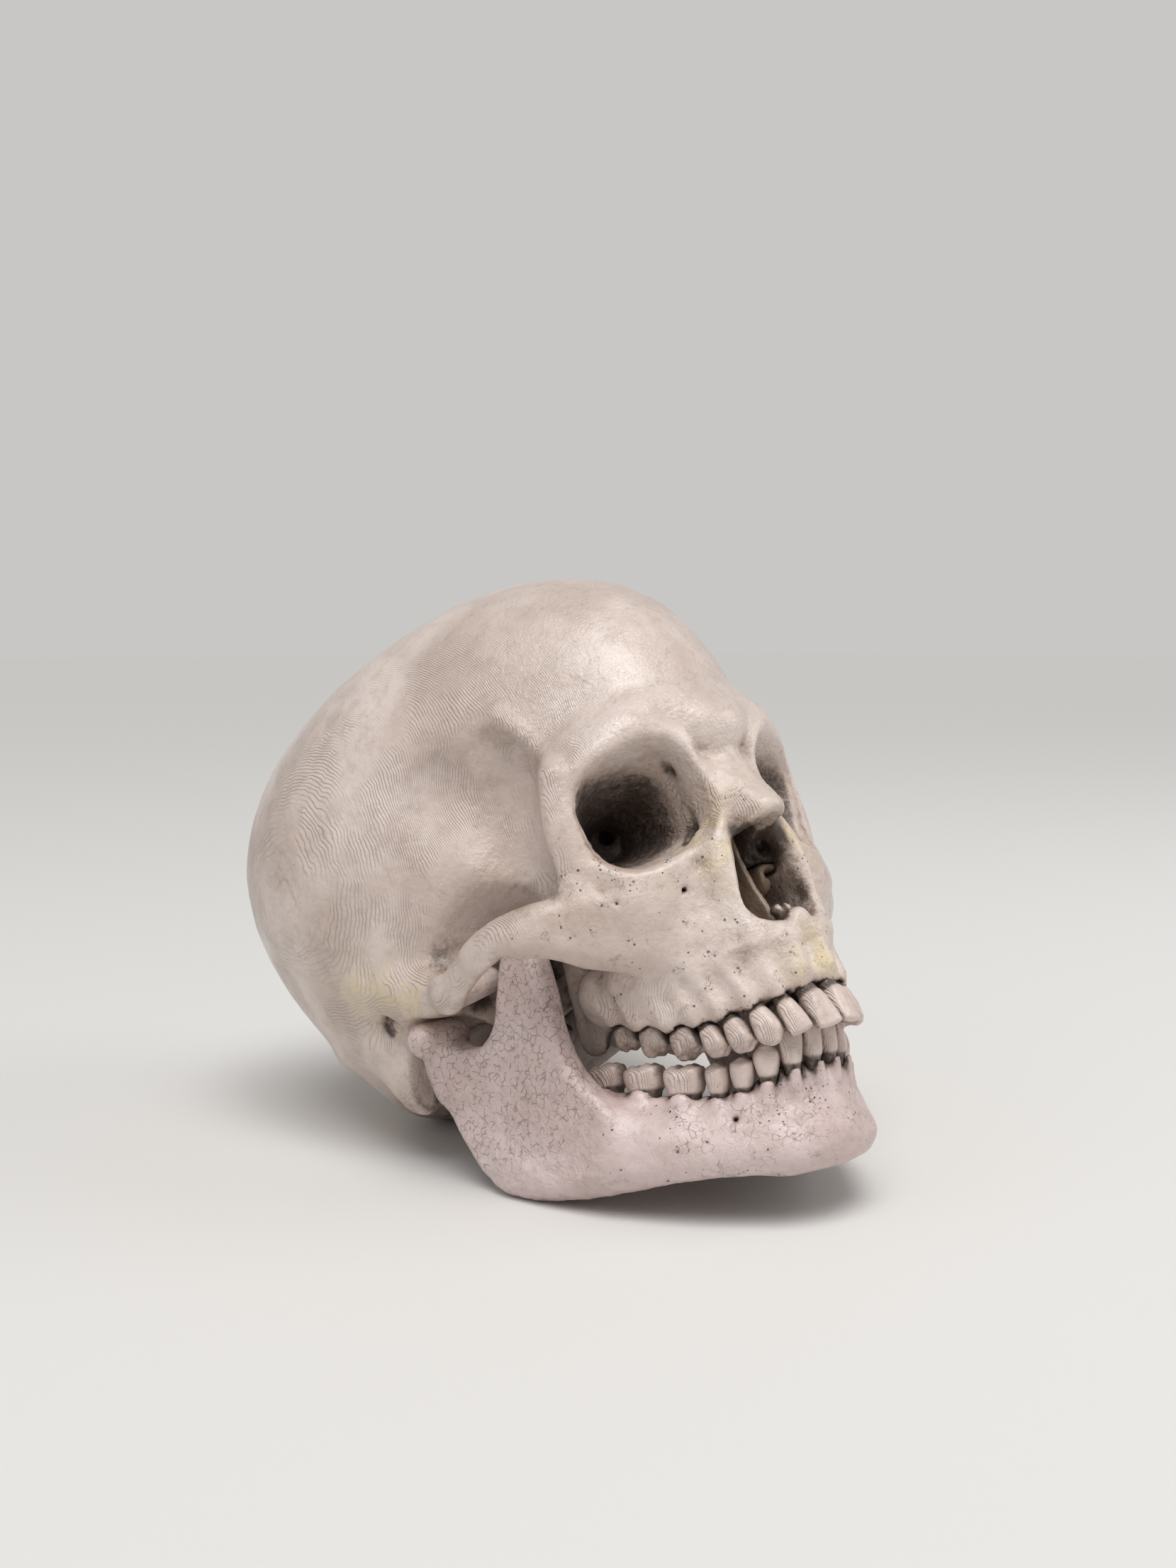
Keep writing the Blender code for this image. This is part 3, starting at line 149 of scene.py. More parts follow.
# %% The room
ROOM_LIGHT = 0.32
ROOM_TINT = "#F4F2EF"
BACKDROP_TINT = "#C8C7C5"
room = bpy.data.worlds.new("pale_room")
bpy.context.scene.world = room
room.use_nodes = True
walls = room.node_tree
walls.nodes.clear()
ray = add(walls, "ShaderNodeLightPath").outputs
seen = add(walls, "ShaderNodeMath", {0: ray["Is Camera Ray"], 1: ray["Is Glossy Ray"]}, operation="MAXIMUM")
seen = add(walls, "ShaderNodeMath", {0: seen, 1: ray["Is Transmission Ray"]}, operation="MAXIMUM")
glow = add(walls, "ShaderNodeBackground", {"Color": light_of(ROOM_TINT), "Strength": ROOM_LIGHT})
paper = add(walls, "ShaderNodeBackground", {"Color": light_of(BACKDROP_TINT), "Strength": 1.0})
chosen = add(walls, "ShaderNodeMixShader", {0: seen, 1: glow, 2: paper})
add(walls, "ShaderNodeOutputWorld", {"Surface": chosen})
bpy.context.scene.view_settings.view_transform = "Standard"
print("room light", ROOM_LIGHT, "with a backdrop of", BACKDROP_TINT)

# %% The lamps
OVERHEAD_STRENGTH = 1.55
OVERHEAD_SPREAD = math.radians(40)
OVERHEAD_PLACE = (-0.42, -0.42, 1.30)
LIT_POINT = (0.0, 0.0, 0.07)
LAMPS = (
    # name, place, side in metres, watts, tint
    ("ceiling_light", (-0.15, -0.55, 1.30), 0.55, 4.0, "#FFFBF6"),
    ("window_light", (0.95, -0.85, 0.75), 0.80, 4.5, "#FFFFFF"),
    ("fill_light", (-1.10, 0.10, 0.80), 1.00, 1.6, "#FBFCFF"),
)


def aimed(stand, place):
    """Stands a lamp at a place with its face towards the skull."""
    towards = np.array(LIT_POINT) - np.array(place)
    towards = towards / np.linalg.norm(towards)
    across = np.cross(towards, (0, 0, 1))
    across = across / np.linalg.norm(across)
    turn = np.column_stack([across, np.cross(across, towards), -towards])
    stand.matrix_world = Matrix([[*turn[i], place[i]] for i in range(3)] + [[0, 0, 0, 1]])
    bpy.context.scene.collection.objects.link(stand)


for name, place, side, watts, tint in LAMPS:
    lamp = bpy.data.lights.new(name, "AREA")
    lamp.shape = "SQUARE"
    lamp.size = side
    lamp.energy = watts
    lamp.color = light_of(tint)[:3]
    aimed(bpy.data.objects.new(name, lamp), place)
overhead = bpy.data.lights.new("overhead_light", "SUN")
overhead.energy = OVERHEAD_STRENGTH
overhead.angle = OVERHEAD_SPREAD
aimed(bpy.data.objects.new("overhead_light", overhead), OVERHEAD_PLACE)
print(len(LAMPS), "small lamps and one that lights the whole table evenly")

# %% [markdown]
# The table is one flat face of matt laminate at the height of the skull's lowest
# point. It is marked as a stage, because it isn't part of the model.

# %% The table top
TABLE_HALF = 12.0
TABLE_TINT = "#E2E1DF"
TABLE_ROUGHNESS = 0.75
table_mesh = bpy.data.meshes.new("table_top")
corners = [(TABLE_HALF * x, TABLE_HALF * y, cad_low[2]) for x, y in ((-1, -1), (1, -1), (1, 1), (-1, 1))]
table_mesh.from_pydata(corners, [], [(0, 1, 2, 3)])
table_top = bpy.data.objects.new("table_top", table_mesh)
bpy.context.scene.collection.objects.link(table_top)
laminate = bpy.data.materials.new("matt_pale_laminate")
laminate.use_nodes = True
surface = laminate.node_tree.nodes["Principled BSDF"].inputs
surface["Base Color"].default_value = light_of(TABLE_TINT)
surface["Roughness"].default_value = TABLE_ROUGHNESS
table_mesh.materials.append(laminate)
table_top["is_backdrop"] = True
print("table top", 2 * TABLE_HALF, "m wide at height", cad_low[2])

# %% [markdown]
# ## How a bone is shaped
#
# Bone has no flat faces and no drawn edges: every part flows into the next. A
# subdivision cage would need hundreds of points placed by hand. Here each form is
# a distance instead: a ball, a bar or a plate says how far any point of space is
# from its skin, and two such forms are joined by taking the nearer of the two
# distances, rounded where they meet. The numbers live on a grid, for one side
# only, because a skull is nearly the same on its left and right.
#
# Places are written as shares of the length of the cranial base, from the front
# edge of the hole under the skull to the root of the nose. The origin is midway
# between the ears, and the face looks along -Y.

# %% The skull's own sizes
# Overall sizes.
BASE_LENGTH = 0.100
VAULT_WIDTH = 0.143
VAULT_LENGTH = 0.187
VAULT_HEIGHT = 0.175
VAULT_WALL = 0.0065

# Openings.
ORBIT_WIDTH = 0.0400
ORBIT_HEIGHT = 0.0340
ORBIT_DEPTH = 0.0420
NOSE_WIDTH = 0.0250
NOSE_HEIGHT = 0.0285
FORAMEN_WIDTH = 0.0300
FORAMEN_LENGTH = 0.0360
EAR_RADIUS = 0.0032

# Bars and plates of bone.
RIM_RADIUS = 0.0042
ARCH_HEIGHT = 0.0100
ARCH_THICKNESS = 0.0056
RAMUS_THICKNESS = 0.0080
JAW_BASE_RADIUS = 0.0058
JAW_TOP_RADII = (0.0044, 0.0062)
GUM_RADII = (0.0050, 0.0066)
GUM_MARGIN = 0.0004

# The jaw joint.
CONDYLE_LENGTH = 0.0200
CONDYLE_RADIUS = 0.0050
JOINT_CLEARANCE = 0.0004
FOSSA_RADIUS = 0.0085
FOSSA_LENGTH = 0.0290

# Teeth.
ROOT_LENGTH = 0.0060
TOOTH_GAP = 0.0006
CUSP_HEIGHT = 0.0012

# Clearances, counts and the pose on the table.
FIT_GAP = 0.0003
FENCE_COUNT = 26
ROW_COUNT = 200
TAPER_POWER = 1.05
REST_TILT = math.radians(27.4)
REST_RISE = 0.0590
REST_SHIFT = 0.00035

# How softly one form runs into the next.
CRISP_BLEND_SHARE = 0.012
FINE_BLEND_SHARE = 0.020
RIM_BLEND_SHARE = 0.030
EDGE_BLEND_SHARE = 0.040
FORM_BLEND_SHARE = 0.050
SOFT_BLEND_SHARE = 0.060
BROAD_BLEND_SHARE = 0.080
FLOOR_BLEND_SHARE = 0.100
print("a cranial base of", 1000 * BASE_LENGTH, "mm and a vault", 1000 * VAULT_WIDTH, "mm wide")

# %% [markdown]
# ### Lengths, turns and smooth paths
#
# Four small helpers serve every form. The last one rounds the corner where two
# forms meet: k is how far away from the corner the rounding starts.

# %% Shares, turns and paths
def length(shares):
    """Shares of the cranial base length, as metres."""
    return np.asarray(shares, dtype=float) * BASE_LENGTH


def turned(degrees):
    """A rotation about X, then Y, then Z."""
    a, b, c = (math.radians(v) for v in degrees)
    about_x = np.array([[1, 0, 0], [0, math.cos(a), -math.sin(a)], [0, math.sin(a), math.cos(a)]])
    about_y = np.array([[math.cos(b), 0, math.sin(b)], [0, 1, 0], [-math.sin(b), 0, math.cos(b)]])
    about_z = np.array([[math.cos(c), -math.sin(c), 0], [math.sin(c), math.cos(c), 0], [0, 0, 1]])
    return about_z @ about_y @ about_x


def smooth_path(points, closed=False, steps=5):
    """A curve through the points, as a finer run of points."""
    p = np.asarray(points, dtype=float)
    if closed:
        p = np.vstack([p[-1:], p, p[:2]])
    else:
        p = np.vstack([2 * p[0] - p[1], p, 2 * p[-1] - p[-2]])
    out = []
    for i in range(1, len(p) - 2):
        for j in range(steps):
            t = j / steps
            a, b, c, d = p[i - 1], p[i], p[i + 1], p[i + 2]
            out.append(0.5 * (2 * b + (c - a) * t + (2 * a - 5 * b + 4 * c - d) * t * t
                              + (3 * b - a - 3 * c + d) * t ** 3))
    if not closed:
        out.append(p[-2])
    return np.array(out)


def blend_min(a, b, k):
    """The nearer of two distances, rounded where they meet."""
    h = np.clip(0.5 + 0.5 * (b - a) / k, 0, 1)
    return b + (a - b) * h - k * h * (1 - h)


print("a quarter of the base is", 1000 * float(length(0.25)), "mm")

# %% [markdown]
# ### Balls, bars, plates and hollows
#
# Seven kinds of form are enough for a whole skull: balls that may be stretched and
# turned, one big egg for the braincase, bars that follow a path, a fence of bars
# for the tooth-bearing ridges, a plate for the upright part of the jaw, and two
# hollows, for the nose and for the eye sockets.

# %% Balls and the egg
class Ball:
    """An ellipsoid, which may be turned."""

    def __init__(self, centre, radii, turn=(0, 0, 0)):
        self.centre = np.asarray(centre, dtype=float)
        self.radii = np.asarray(radii, dtype=float)
        self.axes = turned(turn).T
        reach = np.abs(turned(turn)) @ self.radii
        self.low, self.high = self.centre - reach, self.centre + reach

    def distance(self, x, y, z):
        c = self.centre
        near = far = 0.0
        for row, r in zip(self.axes, self.radii):
            u = row[0] * (x - c[0]) + row[1] * (y - c[1]) + row[2] * (z - c[2])
            near = near + (u / r) ** 2
            far = far + (u / r ** 2) ** 2
        near = np.sqrt(near)
        return near * (near - 1) / np.maximum(np.sqrt(far), 1e-9)


class Egg:
    """An ellipsoid tilted about X that widens and flattens towards the back."""

    def __init__(self, centre, radii, tilt, tapers):
        self.centre, self.radii, self.tapers = np.asarray(centre), radii, tapers
        self.cos, self.sin = math.cos(tilt), math.sin(tilt)
        reach = max(radii) * (1 + max(abs(v) for v in tapers))
        self.low, self.high = self.centre - reach, self.centre + reach

    def distance(self, x, y, z):
        y, z = y - self.centre[1], z - self.centre[2]
        y, z = self.cos * y + self.sin * z, self.cos * z - self.sin * y
        v = y / self.radii[1]
        t = np.clip(v, -1.2, 1.2)
        wide = self.radii[0] * (1 + self.tapers[0] * t)
        tall = self.radii[2] * (1 + self.tapers[1] * t)
        near = np.sqrt((x / wide) ** 2 + v ** 2 + (z / tall) ** 2)
        far = np.sqrt((x / wide ** 2) ** 2 + (y / self.radii[1] ** 2) ** 2 + (z / tall ** 2) ** 2)
        return near * (near - 1) / np.maximum(far, 1e-9)


trial = Ball((0, 0, 0), (0.010, 0.010, 0.010)).distance(0.015, 0.0, 0.0)
print("15 mm from the middle of a 10 mm ball is", round(1000 * float(trial), 1), "mm from its skin")

# %% Bars, fences and plates
class Rod:
    """A bar along a run of points; stretch makes it flat along an axis."""

    def __init__(self, points, radii, stretch=(1, 1, 1)):
        self.stretch = np.asarray(stretch, dtype=float)
        self.points = np.asarray(points, dtype=float)
        self.radii = np.broadcast_to(np.asarray(radii, dtype=float), len(self.points))
        reach = self.radii.max() * self.stretch
        self.low = self.points.min(0) - reach
        self.high = self.points.max(0) + reach

    def distance(self, x, y, z):
        s = self.stretch
        best = None
        for a, b, ra, rb in zip(self.points, self.points[1:], self.radii, self.radii[1:]):
            a, b = a / s, b / s
            line = b - a
            size = float(line @ line)
            ux, uy, uz = x / s[0] - a[0], y / s[1] - a[1], z / s[2] - a[2]
            t = np.clip((ux * line[0] + uy * line[1] + uz * line[2]) / size, 0, 1)
            d = np.sqrt((ux - t * line[0]) ** 2 + (uy - t * line[1]) ** 2
                        + (uz - t * line[2]) ** 2) - (ra + t * (rb - ra))
            best = d if best is None else np.minimum(best, d)
        return best * s.min()


class Fence:
    """Upright bars side by side from a lower path to an upper one."""

    def __init__(self, lower, upper, low_radii, high_radii, blend):
        runs = zip(lower, upper, np.linspace(*low_radii, len(lower)), np.linspace(*high_radii, len(lower)))
        self.bars = [Rod([a, b], (low, high)) for a, b, low, high in runs]
        self.blend = blend
        self.low = np.min([bar.low for bar in self.bars], axis=0)
        self.high = np.max([bar.high for bar in self.bars], axis=0)

    def distance(self, x, y, z):
        best = self.bars[0].distance(x, y, z)
        for bar in self.bars[1:]:
            best = blend_min(best, bar.distance(x, y, z), self.blend)
        return best


def outline_distance(outline, u, v):
    """Distance to a closed outline in a plane, negative inside it."""
    best = np.full(np.broadcast(u, v).shape, np.inf)
    inside = np.zeros(best.shape, dtype=bool)
    for a, b in zip(outline, np.roll(outline, -1, axis=0)):
        e = b - a
        du, dv = u - a[0], v - a[1]
        t = np.clip((du * e[0] + dv * e[1]) / float(e @ e), 0, 1)
        best = np.minimum(best, (du - t * e[0]) ** 2 + (dv - t * e[1]) ** 2)
        if a[1] != b[1]:
            between = (a[1] > v) != (b[1] > v)
            inside ^= between & (u < a[0] + (v - a[1]) * e[0] / e[1])
    return np.where(inside, -1.0, 1.0) * np.sqrt(best)


class Plate:
    """A plate cut to an outline in Y and Z, lying about x = a + b*y + c*z."""

    def __init__(self, outline, lie, half, rounding):
        self.outline = smooth_path(outline, closed=True, steps=4)
        self.lie, self.half, self.rounding = lie, half, rounding
        low, high = self.outline.min(0), self.outline.max(0)
        xs = [lie[0] + lie[1] * a + lie[2] * b for a in (low[0], high[0]) for b in (low[1], high[1])]
        self.low = np.array([min(xs) - half, low[0], low[1]])
        self.high = np.array([max(xs) + half, high[0], high[1]])

    def distance(self, x, y, z):
        flat = outline_distance(self.outline, y, z) + self.rounding
        side = np.abs(x - (self.lie[0] + self.lie[1] * y + self.lie[2] * z)) - self.half + self.rounding
        corner = np.sqrt(np.maximum(flat, 0) ** 2 + np.maximum(side, 0) ** 2)
        return np.minimum(np.maximum(flat, side), 0) + corner - self.rounding


trial = Rod(((0, 0, 0), (0, 0, 0.020)), 0.002).distance(0.005, 0.0, 0.010)
print("5 mm beside the middle of a 2 mm bar is", round(1000 * float(trial), 1), "mm from its skin")

# %% Hollows
SOCKET_SQUARENESS = 2.7


class Tunnel:
    """An outline in X and Z swept along Y."""

    def __init__(self, outline, reach):
        self.outline = smooth_path(outline, closed=True, steps=4)
        self.reach = reach
        low, high = self.outline.min(0), self.outline.max(0)
        self.low = np.array([low[0], reach[0], low[1]])
        self.high = np.array([high[0], reach[1], high[1]])

    def distance(self, x, y, z):
        middle, half = sum(self.reach) / 2, (self.reach[1] - self.reach[0]) / 2
        return np.maximum(outline_distance(self.outline, x, z), np.abs(y - middle) - half)


class Socket:
    """A tapering hollow with a squarish mouth, from a mouth to an apex."""

    def __init__(self, mouth, apex, wide, high, tip, overrun, droop):
        self.mouth, self.apex = np.asarray(mouth), np.asarray(apex)
        self.wide, self.tall, self.tip, self.overrun = wide, high, tip, overrun
        self.along = self.apex - self.mouth
        self.depth = float(np.linalg.norm(self.along))
        self.along = self.along / self.depth
        across = np.cross(self.along, (0, 0, 1))
        across = across / np.linalg.norm(across)
        upright = np.cross(across, self.along)
        c, s = math.cos(droop), math.sin(droop)
        self.across, self.upright = c * across + s * upright, c * upright - s * across
        reach = max(wide, high)
        ends = np.array([self.mouth - self.along * overrun, self.apex])
        self.low, self.high = ends.min(0) - reach, ends.max(0) + reach

    def distance(self, x, y, z):
        m = self.mouth
        u, v, w = (row[0] * (x - m[0]) + row[1] * (y - m[1]) + row[2] * (z - m[2])
                   for row in (self.across, self.upright, self.along))
        t = np.clip(w / self.depth, -self.overrun / self.depth, 1)
        taper = np.clip(1 - np.maximum(t, 0) ** TAPER_POWER, 0, 1)
        a = self.tip + (self.wide - self.tip) * taper
        b = self.tip + (self.tall - self.tip) * taper
        ring = (np.abs(u / a) ** SOCKET_SQUARENESS + np.abs(v / b) ** SOCKET_SQUARENESS) ** (1 / SOCKET_SQUARENESS)
        side = (ring - 1) * np.minimum(a, b)
        return np.maximum(side, w - self.depth)


trial = Socket((0, 0, 0), (0, 0.040, 0), 0.020, 0.017, 0.004, 0.010, 0.0).distance(0.0, 0.010, 0.0)
print("10 mm into a trial socket its wall is", round(-1000 * float(trial), 1), "mm away")

# %% [markdown]
# ### The block that a bone is worked out in
#
# A block of grid points holds the distance to the bone. join and cut add or take
# away a form. press and ridge move the skin outwards a little at a place or along
# a line, as a thumb would in clay, which is how muscle lines and swellings are
# made. reading looks the distance up anywhere, and is used for the stain later.

# %% The block
class Bone:
    """A block of space holding the distance to a bone's surface, for x >= 0."""

    def __init__(self, low, high, step):
        self.step = step
        self.axes = [a + step * np.arange(int(round((b - a) / step)) + 1) for a, b in zip(low, high)]
        self.d = np.full([len(a) for a in self.axes], BASE_LENGTH, dtype=np.float32)

    def part(self, low, high):
        """The stretch of the grid between two corners, and its X, Y and Z."""
        cut = []
        for axis, a, b in zip(self.axes, low, high):
            first, last = np.searchsorted(axis, a), np.searchsorted(axis, b)
            cut.append(slice(max(int(first) - 1, 0), min(int(last) + 1, len(axis))))
        x, y, z = (axis[c].astype(np.float32) for axis, c in zip(self.axes, cut))
        return tuple(cut), x[:, None, None], y[None, :, None], z[None, None, :]

    def join(self, shape, blend):
        """Adds a form to the bone."""
        reach = blend + 2 * self.step
        cut, x, y, z = self.part(shape.low - reach, shape.high + reach)
        if self.d[cut].size:
            self.d[cut] = blend_min(self.d[cut], shape.distance(x, y, z), blend)

    def cut(self, shape, blend):
        """Takes a form away from the bone."""
        reach = blend + 2 * self.step
        cut, x, y, z = self.part(shape.low - reach, shape.high + reach)
        if self.d[cut].size:
            self.d[cut] = -blend_min(-self.d[cut], shape.distance(x, y, z), blend)

    def press(self, centre, size, amount):
        """Pushes the surface out around a point by a bell-shaped amount."""
        reach = 3 * np.asarray(size)
        cut, x, y, z = self.part(centre - reach, centre + reach)
        if self.d[cut].size:
            q = ((x - centre[0]) / size[0]) ** 2 + ((y - centre[1]) / size[1]) ** 2
            q = q + ((z - centre[2]) / size[2]) ** 2
            self.d[cut] -= (amount * np.exp(-0.5 * q)).astype(np.float32)

    def ridge(self, path, size, amount):
        """Pushes the surface out along a line that lies on it."""
        line = Rod(smooth_path(path, steps=3), 0)
        cut, x, y, z = self.part(line.low - 3 * size, line.high + 3 * size)
        if self.d[cut].size:
            away = line.distance(x, y, z) / size
            self.d[cut] -= (amount * np.exp(-0.5 * away ** 2)).astype(np.float32)

    def surface(self):
        """Points and faces of the whole bone, both sides of the middle plane."""
        whole = np.concatenate([self.d[:0:-1], self.d])
        grid = openvdb.FloatGrid(float(BASE_LENGTH / self.step))
        grid.copyFromArray(np.ascontiguousarray(whole / self.step))
        points, triangles, quads = grid.convertToPolygons(isovalue=0.0)
        start = np.array([-self.axes[0][-1], self.axes[1][0], self.axes[2][0]])
        faces = [tuple(int(i) for i in f) for f in triangles] + [tuple(int(i) for i in f) for f in quads]
        return points * self.step + start, faces

    def reading(self, points):
        """The distance at any points, looked up between the points of the grid."""
        values = [np.abs(points[:, 0]), points[:, 1], points[:, 2]]
        places = [np.clip((v - a[0]) / self.step, 0, len(a) - 1.001) for v, a in zip(values, self.axes)]
        lows = [p.astype(int) for p in places]
        shares = [p - low for p, low in zip(places, lows)]
        total = np.zeros(len(points))
        for corner in range(8):
            bits = [(corner >> i) & 1 for i in range(3)]
            weight = np.prod([s if b else 1 - s for s, b in zip(shares, bits)], axis=0)
            total += weight * self.d[tuple(low + b for low, b in zip(lows, bits))]
        return total


trial = Bone((0, 0, 0), (0.010, 0.010, 0.010), 0.001)
print("a trial cube of 10 mm takes", trial.d.size, "points of the grid")

# %% [markdown]
# ## The cranium, step by step
#
# The braincase is an egg, wider and flatter at the back, with its forehead,
# temples and crown pressed into it. Its inner wall is the same skin, a few
# millimetres further in. The face is a heap of balls blended together, with a bar
# for each bony edge: the rims of the sockets, the sides of the nose, the cheek and
# its arch. Last come the hollows, cut out of all that. Each table below holds the
# numbers of one region, and the functions after them pour the regions in turn.

# %% Numbers of the braincase: one egg, with its swellings and flats
VAULT_CENTRE_SHARES = (0.0, 0.094, 0.292)
VAULT_TILT = math.radians(26.7)
VAULT_TAPER_SHARES = (0.273, -0.267)
VAULT_PRESS_SHARES = (
    # where, how wide the press is, how far it pushes out
    ((0.62, -0.32, 0.40), (0.20, 0.26, 0.30), -0.030),
    ((0.30, 0.62, -0.34), (0.22, 0.20, 0.16), 0.020),
    ((0.00, 0.66, -0.30), (0.05, 0.24, 0.12), -0.020),
    ((0.00, 0.84, 0.80), (0.34, 0.24, 0.26), -0.065),
)
BASE_TRIM_SHARES = (
    # a point on each flat, how far it faces forward and down, blend
    ((0.0, 0.06, -0.270), (-0.51, -0.86), 0.14),
    ((0.0, 0.60, -0.4030), (-0.46, -0.89), 0.11),
)
TEMPLE_PIT_SHARES = ((0.640, -0.500, 0.215), (0.275, 0.200, 0.370))
TEMPLE_FLOOR_SHARES = ((0.650, -0.370, -0.160), (0.285, 0.290, 0.290))
TEMPLE_HOLLOW_SHARES = ((0.730, -0.370, 0.400), (0.255, 0.190, 0.220))
TEMPLE_CUTS = (
    (TEMPLE_PIT_SHARES, EDGE_BLEND_SHARE),
    (TEMPLE_FLOOR_SHARES, BROAD_BLEND_SHARE),
    (TEMPLE_HOLLOW_SHARES, BROAD_BLEND_SHARE),
)
print(len(VAULT_PRESS_SHARES), "swellings and flats,", len(TEMPLE_CUTS), "hollows at the temple")

# %% Numbers of the face, forehead to gums
FACE_FORM_SHARES = (
    # centre, radii, turn about X, Y and Z in degrees, blend
    ((0.000, -0.810, 0.350), (0.140, 0.115, 0.095), (0, 0, 0), 0.08),
    ((0.195, -0.738, 0.402), (0.175, 0.105, 0.065), (0, 8, 14), 0.07),
    ((0.345, -0.645, 0.352), (0.100, 0.075, 0.060), (0, 24, 34), 0.06),
    ((0.250, -0.540, 0.160), (0.200, 0.290, 0.240), (0, 0, 0), 0.08),
    ((0.000, -0.590, 0.090), (0.130, 0.270, 0.210), (0, 0, 0), 0.05),
    ((0.158, -0.620, -0.170), (0.178, 0.205, 0.225), (0, 0, 0), 0.07),
    ((0.395, -0.608, -0.080), (0.095, 0.060, 0.120), (0, 20, 36), 0.06),
    ((0.300, -0.625, -0.120), (0.120, 0.090, 0.120), (0, 0, 20), 0.07),
    ((0.320, -0.690, -0.085), (0.130, 0.082, 0.085), (0, 0, 28), 0.06),
    ((0.215, -0.745, -0.090), (0.090, 0.070, 0.080), (0, 0, 20), 0.05),
    ((0.440, -0.590, -0.110), (0.085, 0.045, 0.085), (0, 0, 44), 0.05),
    ((0.255, -0.520, -0.270), (0.085, 0.090, 0.120), (0, 0, 0), 0.06),
    ((0.090, -0.705, -0.290), (0.130, 0.130, 0.100), (0, 0, 0), 0.05),
    ((0.000, -0.835, 0.140), (0.092, 0.076, 0.170), (-28, 0, 0), 0.05),
)
ORBIT_RIM_SHARES = (
    (0.225, -0.808, 0.360), (0.320, -0.752, 0.342), (0.394, -0.684, 0.290),
    (0.432, -0.640, 0.180), (0.427, -0.638, 0.070), (0.378, -0.690, -0.010),
    (0.280, -0.752, -0.020), (0.190, -0.790, 0.025), (0.140, -0.805, 0.110),
    (0.125, -0.815, 0.210), (0.150, -0.828, 0.310),
)
NOSE_ROOF_SHARES = (
    (0.000, -0.828, 0.270), (0.000, -0.860, 0.190), (0.000, -0.903, 0.115),
    (0.000, -0.946, 0.062),
)
NOSE_ROOF_RADIUS_SHARE = 0.034
NOSE_SIDE_RADIUS_SHARE = 0.036
NOSE_ROOF_STRETCH = (1.3, 1.0, 1.0)
NOSE_SIDE_SHARES = (
    (0.090, -0.820, 0.200), (0.110, -0.840, 0.070), (0.145, -0.845, -0.060),
    (0.155, -0.840, -0.180), (0.120, -0.850, -0.260), (0.030, -0.875, -0.265),
)
CHEEK_POST_SHARES = (
    (0.432, -0.640, 0.300), (0.452, -0.625, 0.200), (0.458, -0.618, 0.090),
    (0.455, -0.615, -0.040),
)
CHEEK_EDGE_SHARES = (
    (0.310, -0.655, -0.205), (0.370, -0.628, -0.192), (0.432, -0.600, -0.168),
    (0.508, -0.560, -0.130), (0.585, -0.495, -0.088),
)
ARCH_SHARES = (
    (0.450, -0.618, -0.065), (0.552, -0.545, -0.052), (0.615, -0.455, -0.055),
    (0.640, -0.350, -0.075), (0.632, -0.240, -0.105), (0.612, -0.150, -0.115),
    (0.600, -0.060, -0.085), (0.610, 0.050, -0.035), (0.620, 0.170, 0.020),
)
TUBERCLE_SHARES = (
    (0.610, -0.150, -0.115), (0.540, -0.140, -0.110), (0.450, -0.130, -0.090),
)
RIDGE_SHARES = (
    # lines that stand up from the surface: path, how wide, how far
    (((0.615, 0.060, -0.020), (0.622, 0.200, 0.030), (0.600, 0.340, 0.090)), 0.035, 0.030),
    (((0.000, 0.930, -0.020), (0.140, 0.910, -0.040), (0.320, 0.820, -0.070),
      (0.480, 0.640, -0.100), (0.570, 0.430, -0.120), (0.590, 0.240, -0.160)), 0.035, 0.022),
    (((0.450, -0.655, 0.320), (0.430, -0.600, 0.430), (0.440, -0.510, 0.560)), 0.024, 0.012),
    (((0.445, -0.500, 0.580), (0.480, -0.400, 0.670), (0.540, -0.260, 0.720), (0.600, -0.050, 0.750)), 0.030, 0.005),
)
TEMPLE_WALL_SHARES = ((0.500, -0.478, 0.215), (0.800, -0.478, 0.215))
TEMPLE_WALL_RADIUS_SHARE = 0.118
TEMPLE_WALL_STRETCH = (1, 1, 2.9)
print(len(FACE_FORM_SHARES), "forms and", len(RIDGE_SHARES), "ridges for the face and its arches")

# %% Numbers of the skull's base
BASE_FORM_SHARES = (
    # centre, radii, turn, blend
    ((0.520, 0.245, -0.150), (0.078, 0.118, 0.222), (-8, 0, 0), 0.07),
    ((0.530, 0.020, -0.065), (0.095, 0.150, 0.085), (0, 0, 0), 0.06),
    ((0.330, 0.010, -0.170), (0.230, 0.090, 0.090), (0, 0, 22), 0.05),
    ((0.000, -0.130, -0.130), (0.150, 0.220, 0.110), (32, 0, 0), 0.06),
    ((0.170, 0.080, -0.265), (0.055, 0.125, 0.060), (0, 0, -24), 0.02),
    ((0.420, 0.150, -0.250), (0.022, 0.022, 0.070), (-20, 0, 0), 0.02),
    ((0.000, -0.400, 0.020), (0.120, 0.200, 0.110), (0, 0, 0), 0.06),
)
WING_PLATE_SHARES = (
    ((0.230, -0.290, -0.020), (0.265, -0.285, -0.330), 0.020, 0.065),
    ((0.150, -0.310, -0.020), (0.160, -0.310, -0.330), 0.018, 0.050),
)
BASE_CUT_SHARES = (
    # behind the condyle, where the jaw swings back as it opens
    ((0.530, 0.070, -0.330), (0.110, 0.125, 0.150), (0, 0, 0), 0.03),
    ((0.240, 0.030, -0.275), (0.035, 0.035, 0.060), (0, 0, 0), 0.01),
    ((0.300, 0.100, -0.280), (0.050, 0.040, 0.060), (0, 0, 0), 0.01),
    ((0.440, 0.230, -0.400), (0.025, 0.150, 0.090), (0, 0, -12), 0.03),
)
EAR_SHARES = ((0.720, 0.175, -0.105), (0.490, 0.130, -0.115))
